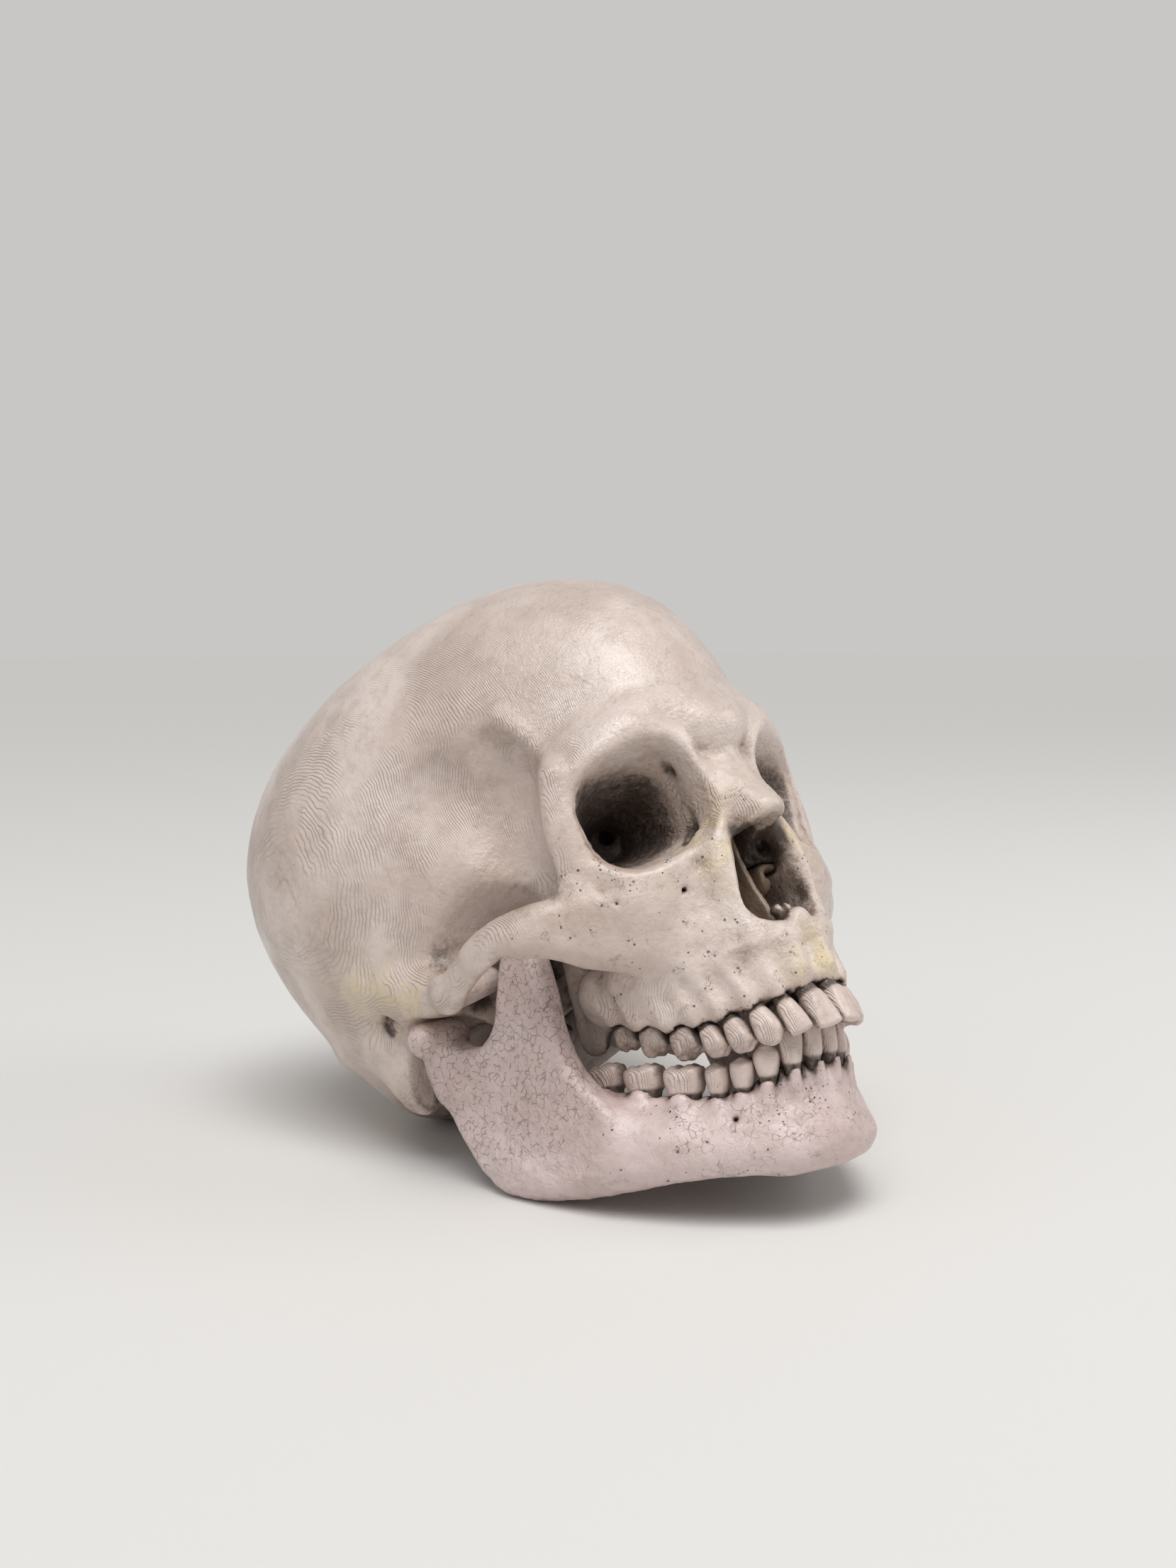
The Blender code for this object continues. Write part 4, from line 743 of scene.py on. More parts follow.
FORAMEN_SHARES = ((0.0, 0.20, -0.60), (0.0, 0.24, 0.0))
BRAIN_FLOOR_SHARES = (
    # how far back, how high
    (-0.90, 0.46), (-0.42, 0.42), (-0.30, 0.10), (0.00, 0.04), (0.12, -0.16), (0.70, -0.20),
)
print(len(BASE_FORM_SHARES), "forms and", len(BASE_CUT_SHARES), "cuts under the skull")

# %% Numbers of the hollows of the face
CANINE_HOLLOW_SHARES = ((0.290, -0.900, -0.170), (0.110, 0.085, 0.110))
ORBIT_MOUTH_SHARES = (0.300, -0.820, 0.155)
ORBIT_APEX_SHARES = (0.130, -0.430, 0.165)
ORBIT_APEX_RADIUS_SHARE = 0.045
ORBIT_DROOP = math.radians(-10)
NOSE_SILL_SHARE = -0.243
NOSE_OUTLINE_SHARES = (
    # half widths and heights as shares of the nose's width and height
    (0.00, 0.02), (0.20, 0.00), (0.40, 0.07), (0.50, 0.23), (0.48, 0.45),
    (0.37, 0.71), (0.22, 0.92), (0.00, 1.00),
)
NOSE_REACH_SHARES = (-1.150, -0.360)
NOSE_SLOT_SHARES = (
    # the high narrow part, then the wide floor over the palate
    ((0.000, -0.640, 0.050), (0.048, 0.200, 0.150)),
    ((0.000, -0.640, -0.140), (0.160, 0.270, 0.100)),
)
print("a nose opening drawn with", len(NOSE_OUTLINE_SHARES), "points for each half")

# %% Numbers of the upper gum and the palate
UPPER_ROW_SHARES = (
    (0.000, -0.930), (0.082, -0.912), (0.146, -0.858), (0.188, -0.795),
    (0.220, -0.718), (0.243, -0.632), (0.262, -0.530), (0.272, -0.400),
    (0.277, -0.372),
)
UPPER_ROOT_ROW_SHARES = (
    (0.000, -0.862), (0.072, -0.846), (0.128, -0.795), (0.172, -0.738),
    (0.210, -0.676), (0.238, -0.601), (0.260, -0.515), (0.270, -0.400),
    (0.275, -0.376),
)
UPPER_NECK_SHARES = (-0.440, -0.444, -0.446, -0.447, -0.444, -0.424, -0.382, -0.330, -0.314)
UPPER_GUM_TOP_SHARE = -0.255
PALATE_CENTRE_SHARES = (0.000, -0.620, -0.275)
PALATE_RADII_SHARES = (0.270, 0.300, 0.045)
PALATE_VAULT_SHARES = ((0.000, -0.620, -0.400), (0.215, 0.260, 0.110))
print("a gum line through", len(UPPER_ROW_SHARES), "points")

# %% [markdown]
# ### Pouring the cranium
#
# The order matters. The braincase comes first, because its skin, moved inwards by
# the wall, is kept aside as the space for the brain. The face and the base are
# joined to it next, and the hollows are cut last, so that nothing fills them again.

# %% The braincase
def add_forms(bone, table):
    """Joins every ball of a table to the bone."""
    for centre, radii, turn, blend in table:
        bone.join(Ball(length(centre), length(radii), turn), length(blend))


def braincase(step):
    """The egg with its swellings and flats, and the same skin moved inwards."""
    bone = Bone((0.0, *length((-1.16, -0.62))), length((0.80, 1.06, 1.32)), step)
    vault_radii = (VAULT_WIDTH / 2, VAULT_LENGTH / 2, VAULT_HEIGHT / 2)
    bone.join(Egg(length(VAULT_CENTRE_SHARES), vault_radii, VAULT_TILT, VAULT_TAPER_SHARES), step)
    for centre, size, amount in VAULT_PRESS_SHARES:
        bone.press(length(centre), length(size), length(amount))
    _, x, y, z = bone.part([axis[0] for axis in bone.axes], [axis[-1] for axis in bone.axes])
    for place, (ahead, down), blend in BASE_TRIM_SHARES:
        under = ahead * (y - length(place[1])) + down * (z - length(place[2])) + 0 * x
        bone.d = -blend_min(-bone.d, -under.astype(np.float32), length(blend))
    for hollow, blend in TEMPLE_CUTS:
        bone.cut(Ball(*length(hollow)), length(blend))
    return bone, bone.d + VAULT_WALL


print("a vault wall of", 1000 * VAULT_WALL, "mm")

# %% Face, arches, base and gum
def along(path, count):
    """Points at even steps along a path."""
    p = smooth_path(path)
    run = np.concatenate([[0], np.cumsum(np.linalg.norm(np.diff(p, axis=0), axis=1))])
    s = np.linspace(0, run[-1], count)
    return np.column_stack([np.interp(s, run, p[:, i]) for i in range(p.shape[1])])


def gum_paths():
    """The lower and the upper ends of the bars that make the upper gum."""
    low = length(along(np.column_stack([UPPER_ROOT_ROW_SHARES, UPPER_NECK_SHARES]), FENCE_COUNT))
    high = low.copy()
    low[:, 2] += np.linspace(*GUM_RADII, FENCE_COUNT) + GUM_MARGIN
    high[:, 2] = length(UPPER_GUM_TOP_SHARE)
    return low, high


def add_face(bone):
    """Forehead, rims, nose, cheeks and arches."""
    add_forms(bone, FACE_FORM_SHARES)
    bone.join(Rod(length(smooth_path(ORBIT_RIM_SHARES, closed=True)), RIM_RADIUS), length(RIM_BLEND_SHARE))
    wall = Rod(length(TEMPLE_WALL_SHARES), length(TEMPLE_WALL_RADIUS_SHARE), TEMPLE_WALL_STRETCH)
    bone.cut(wall, length(RIM_BLEND_SHARE))
    for path, radius, stretch, blend in (
            (NOSE_ROOF_SHARES, length(NOSE_ROOF_RADIUS_SHARE), NOSE_ROOF_STRETCH, SOFT_BLEND_SHARE),
            (NOSE_SIDE_SHARES, length(NOSE_SIDE_RADIUS_SHARE), (1, 1, 1), SOFT_BLEND_SHARE),
            (CHEEK_POST_SHARES, RIM_RADIUS, (1, 1, 1), EDGE_BLEND_SHARE),
            (CHEEK_EDGE_SHARES, RIM_RADIUS, (1, 1, 1), FORM_BLEND_SHARE),
            (ARCH_SHARES, ARCH_HEIGHT / 2, (ARCH_THICKNESS / ARCH_HEIGHT, 1, 1), EDGE_BLEND_SHARE),
            (TUBERCLE_SHARES, RIM_RADIUS, (1, 1, 1), EDGE_BLEND_SHARE)):
        bone.join(Rod(length(smooth_path(path)), radius, stretch), length(blend))


def add_base(bone):
    """Mastoids, base, muscle lines, wing plates, upper gum and palate."""
    add_forms(bone, BASE_FORM_SHARES)
    for path, size, amount in RIDGE_SHARES:
        bone.ridge(length(path), length(size), length(amount))
    for top, tip, thin_share, broad_share in WING_PLATE_SHARES:
        flat = (thin_share / broad_share, 1, 1)
        bone.join(Rod(length((top, tip)), length(broad_share), flat), length(RIM_BLEND_SHARE))
    lower, upper = gum_paths()
    bone.join(Fence(lower, upper, GUM_RADII, GUM_RADII, length(RIM_BLEND_SHARE)), length(EDGE_BLEND_SHARE))
    bone.join(Ball(length(PALATE_CENTRE_SHARES), length(PALATE_RADII_SHARES)), length(RIM_BLEND_SHARE))


print("an upper gum of", FENCE_COUNT, "bars on each side")

# %% Hollows, brain space and joint
def cut_face(bone):
    """The palate's vault, the eye sockets, the nose and the hollows of the base."""
    bone.cut(Ball(*length(PALATE_VAULT_SHARES)), length(EDGE_BLEND_SHARE))
    bone.cut(Ball(*length(CANINE_HOLLOW_SHARES)), length(SOFT_BLEND_SHARE))
    bone.cut(Socket(length(ORBIT_MOUTH_SHARES), length(ORBIT_APEX_SHARES), ORBIT_WIDTH / 2,
                    ORBIT_HEIGHT / 2, length(ORBIT_APEX_RADIUS_SHARE), ORBIT_DEPTH / 3,
                    ORBIT_DROOP), length(FINE_BLEND_SHARE))
    pear = [(u * NOSE_WIDTH, length(NOSE_SILL_SHARE) + v * NOSE_HEIGHT) for u, v in NOSE_OUTLINE_SHARES]
    pear = pear + [(-u, v) for u, v in pear[-2:0:-1]]
    bone.cut(Tunnel(pear, tuple(length(NOSE_REACH_SHARES))), length(FINE_BLEND_SHARE))
    for slot in NOSE_SLOT_SHARES:
        bone.cut(Ball(*length(slot)), length(RIM_BLEND_SHARE))
    for centre, radii, turn, blend in BASE_CUT_SHARES:
        bone.cut(Ball(length(centre), length(radii), turn), length(blend))


def open_braincase(bone, hollow):
    """The brain's space: the vault's own wall inside, with a stepped floor."""
    _, x, y, z = bone.part([axis[0] for axis in bone.axes], [axis[-1] for axis in bone.axes])
    floor = np.interp(y, *length(BRAIN_FLOOR_SHARES).T)
    hollow = -blend_min(-hollow, -(floor - z + 0 * x).astype(np.float32), length(FLOOR_BLEND_SHARE))
    bone.d = -blend_min(-bone.d, hollow, length(CRISP_BLEND_SHARE))
    oval = (FORAMEN_WIDTH / FORAMEN_LENGTH, 1, 1)
    bone.cut(Rod(length(FORAMEN_SHARES), FORAMEN_LENGTH / 2, oval), length(RIM_BLEND_SHARE))
    bone.cut(Rod(length(EAR_SHARES), EAR_RADIUS), length(CRISP_BLEND_SHARE))


CONDYLE_SHARES = (0.530, 0.055, -0.190)


def condyle(grow):
    """The jaw's cross-wise knuckle, blunt at both ends."""
    half = (CONDYLE_LENGTH / 2 - CONDYLE_RADIUS, 0, 0)
    middle = length(CONDYLE_SHARES)
    return Rod((middle - half, middle + half), CONDYLE_RADIUS + grow)


def cranium_bone(step):
    """The cranium in its level pose, as distances on a grid."""
    bone, hollow = braincase(step)
    add_face(bone)
    add_base(bone)
    cut_face(bone)
    open_braincase(bone, hollow)

    # The joint hollow is open below and in front, and wider than the condyle.
    hinge = length(CONDYLE_SHARES) + (0, 0, CONDYLE_RADIUS + JOINT_CLEARANCE - FOSSA_RADIUS)
    half = (FOSSA_LENGTH / 2, 0, 0)
    bone.cut(Rod((hinge - half, hinge + half), FOSSA_RADIUS), length(RIM_BLEND_SHARE))
    bone.cut(condyle(JOINT_CLEARANCE), length(CRISP_BLEND_SHARE))
    return bone


print("a joint hollow", round(1000 * (FOSSA_RADIUS - CONDYLE_RADIUS), 1), "mm wider than the condyle")

# %% [markdown]
# ## The lower jaw
#
# The body of the jaw is a fence of upright bars between two curves, the lower
# border and the line under the teeth. The upright part, the ramus, is a flat plate
# cut to an outline. A blunt cross-wise bar is the condyle that sits in the joint.

# %% Numbers of the lower jaw
LOWER_BASE_SHARES = (
    (0.000, -0.742, -0.806), (0.080, -0.732, -0.808), (0.168, -0.682, -0.788),
    (0.255, -0.600, -0.755), (0.325, -0.490, -0.730), (0.385, -0.370, -0.712),
    (0.425, -0.250, -0.692), (0.455, -0.140, -0.660), (0.475, -0.050, -0.620),
)
LOWER_TOP_SHARES = (
    (0.000, -0.778, -0.600), (0.062, -0.767, -0.602), (0.113, -0.730, -0.609),
    (0.156, -0.680, -0.618), (0.200, -0.620, -0.619), (0.245, -0.540, -0.596),
    (0.288, -0.438, -0.556), (0.322, -0.330, -0.508), (0.348, -0.235, -0.482),
)
LOWER_ROW_SHARES = (
    (0.000, -0.852), (0.066, -0.840), (0.121, -0.797), (0.164, -0.735),
    (0.202, -0.665), (0.240, -0.578), (0.272, -0.475), (0.302, -0.350),
    (0.324, -0.245),
)
LOWER_ROOT_ROW_SHARES = (
    (0.000, -0.792), (0.063, -0.781), (0.115, -0.744), (0.158, -0.692),
    (0.202, -0.628), (0.246, -0.545), (0.284, -0.456), (0.318, -0.340),
    (0.340, -0.240),
)
LOWER_NECK_SHARES = (-0.600, -0.602, -0.610, -0.620, -0.620, -0.596, -0.556, -0.508, -0.480)
CHIN_FORM_SHARES = (
    ((0.000, -0.755, -0.795), (0.090, 0.055, 0.070), (0, 0, 0), 0.05),
    ((0.125, -0.722, -0.812), (0.060, 0.045, 0.035), (0, 0, 20), 0.06),
    ((0.380, -0.370, -0.620), (0.045, 0.200, 0.050), (24, 0, -18), 0.08),
)
RAMUS_OUTLINE_SHARES = (
    (-0.330, -0.030), (-0.365, -0.090), (-0.360, -0.200), (-0.350, -0.330),
    (-0.365, -0.440), (-0.430, -0.560), (-0.420, -0.705), (-0.250, -0.705),
    (-0.080, -0.680), (0.020, -0.620), (0.065, -0.510), (0.095, -0.380),
    (0.108, -0.270), (0.095, -0.205), (0.020, -0.215), (-0.035, -0.255),
    (-0.100, -0.262), (-0.160, -0.220), (-0.215, -0.130), (-0.270, -0.040),
)
RAMUS_LEAN_SHARES = (0.508, 0.205, 0.020)
NECK_SHARES = ((0.530, 0.058, -0.205), (0.520, 0.065, -0.330))
NECK_RADIUS_SHARE = 0.046
NECK_STRETCH = (1.1, 1.0, 1)
print("a ramus outline of", len(RAMUS_OUTLINE_SHARES), "points")


# %% Pouring the lower jaw
def jaw_bone(step):
    """The lower jaw in the skull's level pose, as distances on a grid."""
    bone = Bone((0.0, *length((-1.02, -1.02))), length((0.72, 0.22, 0.06)), step)
    base, top = along(LOWER_BASE_SHARES, FENCE_COUNT), along(LOWER_TOP_SHARES, FENCE_COUNT)
    top = length(top)
    top[:, 2] -= np.linspace(*JAW_TOP_RADII, FENCE_COUNT) + GUM_MARGIN
    base_radii = (JAW_BASE_RADIUS, JAW_BASE_RADIUS)
    bone.join(Fence(length(base), top, base_radii, JAW_TOP_RADII, length(RIM_BLEND_SHARE)), step)
    a, b, c = RAMUS_LEAN_SHARES
    lie = (length(a), b, c)
    bone.join(Plate(length(RAMUS_OUTLINE_SHARES), lie, RAMUS_THICKNESS / 2, RAMUS_THICKNESS / 3),
              length(FORM_BLEND_SHARE))
    add_forms(bone, CHIN_FORM_SHARES)
    bone.join(Rod(length(NECK_SHARES), length(NECK_RADIUS_SHARE), NECK_STRETCH), length(FORM_BLEND_SHARE))
    bone.join(condyle(0), length(FINE_BLEND_SHARE))
    return bone


print("the jaw's lower edge is", round(2000 * JAW_BASE_RADIUS, 1), "mm thick")

# %% [markdown]
# ## Where the teeth stand
#
# Teeth follow one another along a curve, each as wide as its kind, so only the
# widths are written down and the places are worked out. The bone is cut to the same
# places, a little wider, so that every tooth has its own socket.

# %% Numbers of the teeth
# Teeth, from the middle line outwards: two incisors, canine, two premolars and
# three molars. Widths run along the row and depths from cheek to tongue. They are
# shares of the cranial base length, because the tooth rows grow with the jaws.
UPPER_WIDTH_SHARES = (0.081, 0.063, 0.073, 0.067, 0.064, 0.088, 0.093, 0.082)
UPPER_DEPTH_SHARES = (0.070, 0.062, 0.080, 0.084, 0.084, 0.100, 0.100, 0.094)
UPPER_HEIGHT_SHARES = (0.104, 0.096, 0.100, 0.087, 0.084, 0.082, 0.082, 0.074)
LOWER_WIDTH_SHARES = (0.056, 0.062, 0.068, 0.064, 0.062, 0.112, 0.114, 0.116)
LOWER_DEPTH_SHARES = (0.060, 0.064, 0.076, 0.078, 0.082, 0.100, 0.098, 0.092)
LOWER_HEIGHT_SHARES = (0.088, 0.090, 0.084, 0.075, 0.078, 0.081, 0.076, 0.074)
ROOT_RING_SHARES = ((-1.00, 0.38, 0.42), (-0.55, 0.58, 0.64), (0.00, 0.70, 0.78))
TOOTH_KINDS = ("incisor", "incisor", "canine", "premolar", "premolar", "molar", "molar", "molar")
TOOTH_NAMES = ("central_incisor", "lateral_incisor", "canine", "first_premolar",
               "second_premolar", "first_molar", "second_molar", "third_molar")
SQUARENESS = 2.4
NECK_LEAN_SHARE = 0.45
# Height as a share of the crown, then width and depth as shares of the crown's.
CROWN_RING_SHARES = {
    "incisor": ((0.14, 0.80, 0.95), (0.30, 0.87, 0.96), (0.50, 0.94, 0.84), (0.70, 1.00, 0.68),
                (0.86, 1.00, 0.50), (0.96, 0.96, 0.36)),
    "canine": ((0.14, 0.80, 0.94), (0.30, 0.88, 0.98), (0.48, 0.97, 0.96), (0.64, 1.00, 0.84),
               (0.80, 0.86, 0.66), (0.93, 0.54, 0.44)),
    "premolar": ((0.14, 0.80, 0.90), (0.30, 0.88, 0.94), (0.48, 0.96, 1.00), (0.66, 1.00, 1.00),
                 (0.80, 0.98, 0.92), (0.91, 0.88, 0.76)),
    "molar": ((0.14, 0.84, 0.90), (0.30, 0.91, 0.94), (0.48, 0.97, 0.99), (0.66, 1.00, 1.00),
              (0.80, 0.98, 0.95), (0.90, 0.92, 0.84)),
}
TOOTH_SIDES = 44
CAP_STEPS = (0.93, 0.84, 0.72, 0.60, 0.48, 0.36, 0.24, 0.12)
# The biting surface: its level, its cusps (place, spread, height) and its grooves
# (0 for one across the row or 1 for one along it, place, width, depth).
CAP_LEVELS = {"incisor": 0.45, "canine": 0.75, "premolar": 0.35, "molar": 0.35}
CUSPS = {
    "premolar": (((0.0, 0.50), (0.30, 0.09), 0.85), ((0.0, -0.50), (0.26, 0.08), 0.68)),
    "molar": tuple(((u, v), (0.085, 0.085), 0.75) for u in (-0.52, 0.50) for v in (-0.50, 0.52)),
}
GROOVES = {
    "premolar": ((1, 0.0, 0.15, 0.60),),
    "molar": ((1, 0.0, 0.14, 0.4125), (0, -0.04, 0.12, 0.3375)),
}
CHEEK_GROOVE_SHARE = 0.060
CHEEK_GROOVE_WIDTH = 0.20
EDGE_LEAN_SHARE = 0.10
ROOT_TIP_SHARE = 1.04
print(len(TOOTH_NAMES), "teeth for a quarter, of", len(CROWN_RING_SHARES), "kinds")


# %% The shape of a tooth
def rest(points):
    """Level-pose points, tilted back and set down on the table."""
    c, s = math.cos(REST_TILT), math.sin(REST_TILT)
    p = np.atleast_2d(points)
    return np.column_stack([p[:, 0], c * p[:, 1] + s * p[:, 2] + REST_SHIFT,
                            c * p[:, 2] - s * p[:, 1] + REST_RISE])


class Tooth:
    """Where a tooth stands: its neck, the way it points and its directions."""

    def __init__(self, name, kind, neck, tip, row, width, depth):
        self.name, self.kind, self.neck = name, kind, neck
        self.width, self.depth = width, depth
        self.height = float(np.linalg.norm(tip - neck))
        self.up = (tip - neck) / self.height
        along_row = row - self.up * float(row @ self.up)
        self.row = along_row / np.linalg.norm(along_row)
        self.out = np.cross(self.row, self.up)
        if self.out @ (neck - length((0.0, -0.45, 0.0))) < 0:
            self.out, self.row = -self.out, -self.row
        self.twist = 0.0

    def profile(self):
        """Every ring from the root's tip to the biting edge: rise, width, depth."""
        root = [(h * ROOT_LENGTH, w, d) for h, w, d in ROOT_RING_SHARES]
        crown = [(h * self.height, w, d) for h, w, d in CROWN_RING_SHARES[self.kind]]
        return smooth_path(root + crown, steps=3)

    def cap_height(self, u, v):
        """How high the biting surface stands over its last ring."""
        rise = CAP_LEVELS[self.kind]
        for (a, b), (wide, deep), height in CUSPS.get(self.kind, ()):
            rise = rise + height * np.exp(-((u - a) ** 2 / wide + (v - b) ** 2 / deep))
        for axis, place, width, depth in GROOVES.get(self.kind, ()):
            rise = rise - depth * np.exp(-(((u, v)[axis] - place) / width) ** 2)
        return (1 - (u * u + v * v) ** 2) * CUSP_HEIGHT * rise

    def skin(self):
        """The tooth as rings of points with faces between them."""
        turn = np.arange(TOOTH_SIDES) * 2 * math.pi / TOOTH_SIDES
        c, s = np.cos(turn), np.sin(turn)
        size = (np.abs(c) ** SQUARENESS + np.abs(s) ** SQUARENESS) ** (-1 / SQUARENESS)
        c, s = c * size, s * size
        rings = []
        cheeks = self.kind in ("molar", "premolar")
        for rise, wide, deep in self.profile():
            share = np.clip(rise / self.height, 0, 1)
            dent = CHEEK_GROOVE_SHARE * share * np.exp(-(c / CHEEK_GROOVE_WIDTH) ** 2) * (self.kind == "molar")
            lean = 0.0 if cheeks else EDGE_LEAN_SHARE * share ** 2 * self.depth
            rings.append(self.ring(c, s * (1 - dent), rise, wide, deep, lean))
        rise, wide, deep = self.profile()[-1]
        lean = 0.0 if cheeks else EDGE_LEAN_SHARE * self.depth
        for shrink in CAP_STEPS:
            u, v = c * shrink, s * shrink
            rings.append(self.ring(u, v, rise + self.cap_height(u, v), wide, deep, lean))
        start = self.neck - self.up * (ROOT_LENGTH * ROOT_TIP_SHARE)
        end = self.neck + self.up * (rise + float(self.cap_height(0.0, 0.0))) + self.out * lean
        points = np.vstack(rings + [start, end])
        n, k = TOOTH_SIDES, len(rings)
        faces = [(r * n + i, r * n + (i + 1) % n, (r + 1) * n + (i + 1) % n, (r + 1) * n + i)
                 for r in range(k - 1) for i in range(n)]
        faces += [((i + 1) % n, i, k * n) for i in range(n)]
        faces += [((k - 1) * n + i, (k - 1) * n + (i + 1) % n, k * n + 1) for i in range(n)]
        return points, faces

    def ring(self, c, s, rise, wide, deep, lean):
        """One ring of the tooth, twisted more towards the biting edge."""
        angle = self.twist * np.clip(rise / self.height, 0, 1)
        across = np.multiply.outer(np.cos(angle), self.row) + np.multiply.outer(np.sin(angle), self.out)
        outwards = np.multiply.outer(np.cos(angle), self.out) - np.multiply.outer(np.sin(angle), self.row)
        a, b = self.width * wide / 2, self.depth * deep / 2
        centre = self.neck + np.multiply.outer(rise, self.up) + self.out * lean
        return centre + (c * a)[:, None] * across + (s * b)[:, None] * outwards


print("rings of", TOOTH_SIDES, "points, and", len(CAP_STEPS), "of them across the biting edge")

# %% A socket for a tooth
class Peg:
    """A tooth's socket: the tooth's own rings, a little wider."""

    def __init__(self, tooth, gap):
        self.tooth, self.gap = tooth, gap
        rings = np.array([(h * ROOT_LENGTH, w, d) for h, w, d in ROOT_RING_SHARES]
                         + [(h * tooth.height, w, d) for h, w, d in CROWN_RING_SHARES[tooth.kind][:3]])
        self.rises = rings[:, 0]
        self.wides, self.deeps = tooth.width / 2 * rings[:, 1] + gap, tooth.depth / 2 * rings[:, 2] + gap
        ends = np.array([tooth.neck + tooth.up * rings[0, 0], tooth.neck + tooth.up * rings[-1, 0]])
        reach = max(tooth.width, tooth.depth) / 2 + 4 * gap
        self.low, self.high = ends.min(0) - reach, ends.max(0) + reach

    def distance(self, x, y, z):
        t = self.tooth
        u, v, w = (row[0] * (x - t.neck[0]) + row[1] * (y - t.neck[1]) + row[2] * (z - t.neck[2])
                   for row in (t.row, t.out, t.up))
        a, b = np.interp(w, self.rises, self.wides), np.interp(w, self.rises, self.deeps)
        ring = (np.abs(u / a) ** SQUARENESS + np.abs(v / b) ** SQUARENESS) ** (1 / SQUARENESS)
        side = (ring - 1) * np.minimum(a, b)
        return np.maximum(side, np.maximum(self.rises[0] - self.gap - w, w - self.rises[-1]))


# %% Teeth in their rows
def row_of_teeth(row, root_row, necks, widths, depths, heights, side, sign, label):
    """Teeth set one after another along the row, from the middle outwards."""
    crown = length(along(row, ROW_COUNT))
    roots = length(along(np.column_stack([root_row, necks]), ROW_COUNT))
    run = np.concatenate([[0], np.cumsum(np.linalg.norm(np.diff(crown, axis=0), axis=1))])
    place, made = TOOTH_GAP / 2, []
    sizes = length(np.column_stack([widths, depths, heights]))
    for kind, name, (width, depth, height) in zip(TOOTH_KINDS, TOOTH_NAMES, sizes):
        middle = place + width / 2
        place += width + TOOTH_GAP
        tip = np.array([np.interp(middle, run, crown[:, i]) for i in range(2)])
        root = np.array([np.interp(middle, run, roots[:, i]) for i in range(3)])
        ahead = np.array([np.interp(middle + width / 4, run, crown[:, i]) for i in range(2)])
        behind = np.array([np.interp(middle - width / 4, run, crown[:, i]) for i in range(2)])
        neck = np.array([*(root[:2] + (tip - root[:2]) * NECK_LEAN_SHARE), root[2]])
        top = np.array([tip[0], tip[1], root[2] + sign * height])
        line = np.array([*(ahead - behind), 0.0])
        flip = np.array([side, 1, 1])
        made.append(Tooth(f"{label}_{name}", kind, neck * flip, top * flip, line * flip, width, depth))
    return made


def jaw_of_teeth(label):
    """Both halves of the upper or the lower set."""
    if label == "upper":
        rows, sign = (UPPER_ROW_SHARES, UPPER_ROOT_ROW_SHARES, UPPER_NECK_SHARES), -1
        sizes = (UPPER_WIDTH_SHARES, UPPER_DEPTH_SHARES, UPPER_HEIGHT_SHARES)
    else:
        rows, sign = (LOWER_ROW_SHARES, LOWER_ROOT_ROW_SHARES, LOWER_NECK_SHARES), 1
        sizes = (LOWER_WIDTH_SHARES, LOWER_DEPTH_SHARES, LOWER_HEIGHT_SHARES)
    return [tooth for side, name in ((-1, "right"), (1, "left"))
            for tooth in row_of_teeth(*rows, *sizes, side, sign, f"{label}_{name}")]


upper_teeth, lower_teeth = jaw_of_teeth("upper"), jaw_of_teeth("lower")
print(len(upper_teeth) + len(lower_teeth), "teeth placed")

# %% [markdown]
# ## From the block to a mesh
#
# The grid is walked through once and a skin of small faces comes out. Flat
# stretches have far more of them than they need, so the Decimate modifier folds
# those away and keeps the ones at edges and hollows.

# %% Skin, thin and place a bone
def largest_piece(points, faces):
    """Drops any speck that the grid left apart from the bone."""
    owner = np.arange(len(points))
    links = np.array([(f[0], v) for f in faces for v in f[1:]])
    while True:
        low = np.minimum(owner[links[:, 0]], owner[links[:, 1]])
        before = owner.copy()
        np.minimum.at(owner, links[:, 0], low)
        np.minimum.at(owner, links[:, 1], low)
        owner = owner[owner]
        if np.array_equal(owner, before):
            break
    names, counts = np.unique(owner, return_counts=True)
    keep = owner == names[np.argmax(counts)]
    index = np.cumsum(keep) - 1
    return points[keep], [tuple(int(index[v]) for v in f) for f in faces if keep[f[0]]]


def facing_out(points, faces):
    """The faces turned so that the solid's volume is positive."""
    p = np.asarray(points)
    volume = 0.0
    for f in faces:
        for i in range(1, len(f) - 1):
            volume += float(p[f[0]] @ np.cross(p[f[i]], p[f[i + 1]]))
    return faces if volume > 0 else [tuple(reversed(f)) for f in faces]


def plain_object(name, points, faces):
    """A smooth mesh of these points and faces, as an object in the scene."""
    mesh = bpy.data.meshes.new(name)
    mesh.from_pydata(np.asarray(points).tolist(), [], faces)
    mesh.update()
    mesh.shade_smooth()
    piece = bpy.data.objects.new(name, mesh)
    bpy.context.scene.collection.objects.link(piece)
    return piece


def settled(piece):
    """Works the piece's modifiers into a plain mesh and takes them off."""
    graph = bpy.context.evaluated_depsgraph_get()
    plain = bpy.data.meshes.new_from_object(piece.evaluated_get(graph))
    piece.modifiers.clear()
    piece.data = plain
    return piece


def thin(piece, most_triangles):
    """Folds flat stretches away until few enough triangles are left."""
    count = sum(len(face.vertices) - 2 for face in piece.data.polygons)
    if count > most_triangles:
        folding = piece.modifiers.new("fold_flat_faces", "DECIMATE")
        folding.ratio = most_triangles / count
        folding.use_collapse_triangulate = True
        settled(piece)
    print(piece.name, count, "triangles, kept", min(count, most_triangles))
    return piece


# %% [markdown]
# ## Making the two bones
#
# Every form is now poured into the two blocks. The sockets are cut while the bone
# is still a block, because a hollow cut there needs no Boolean and leaves a clean
# rounded lip. Roots swell the bone over them, so a short bar is laid over each root
# first.

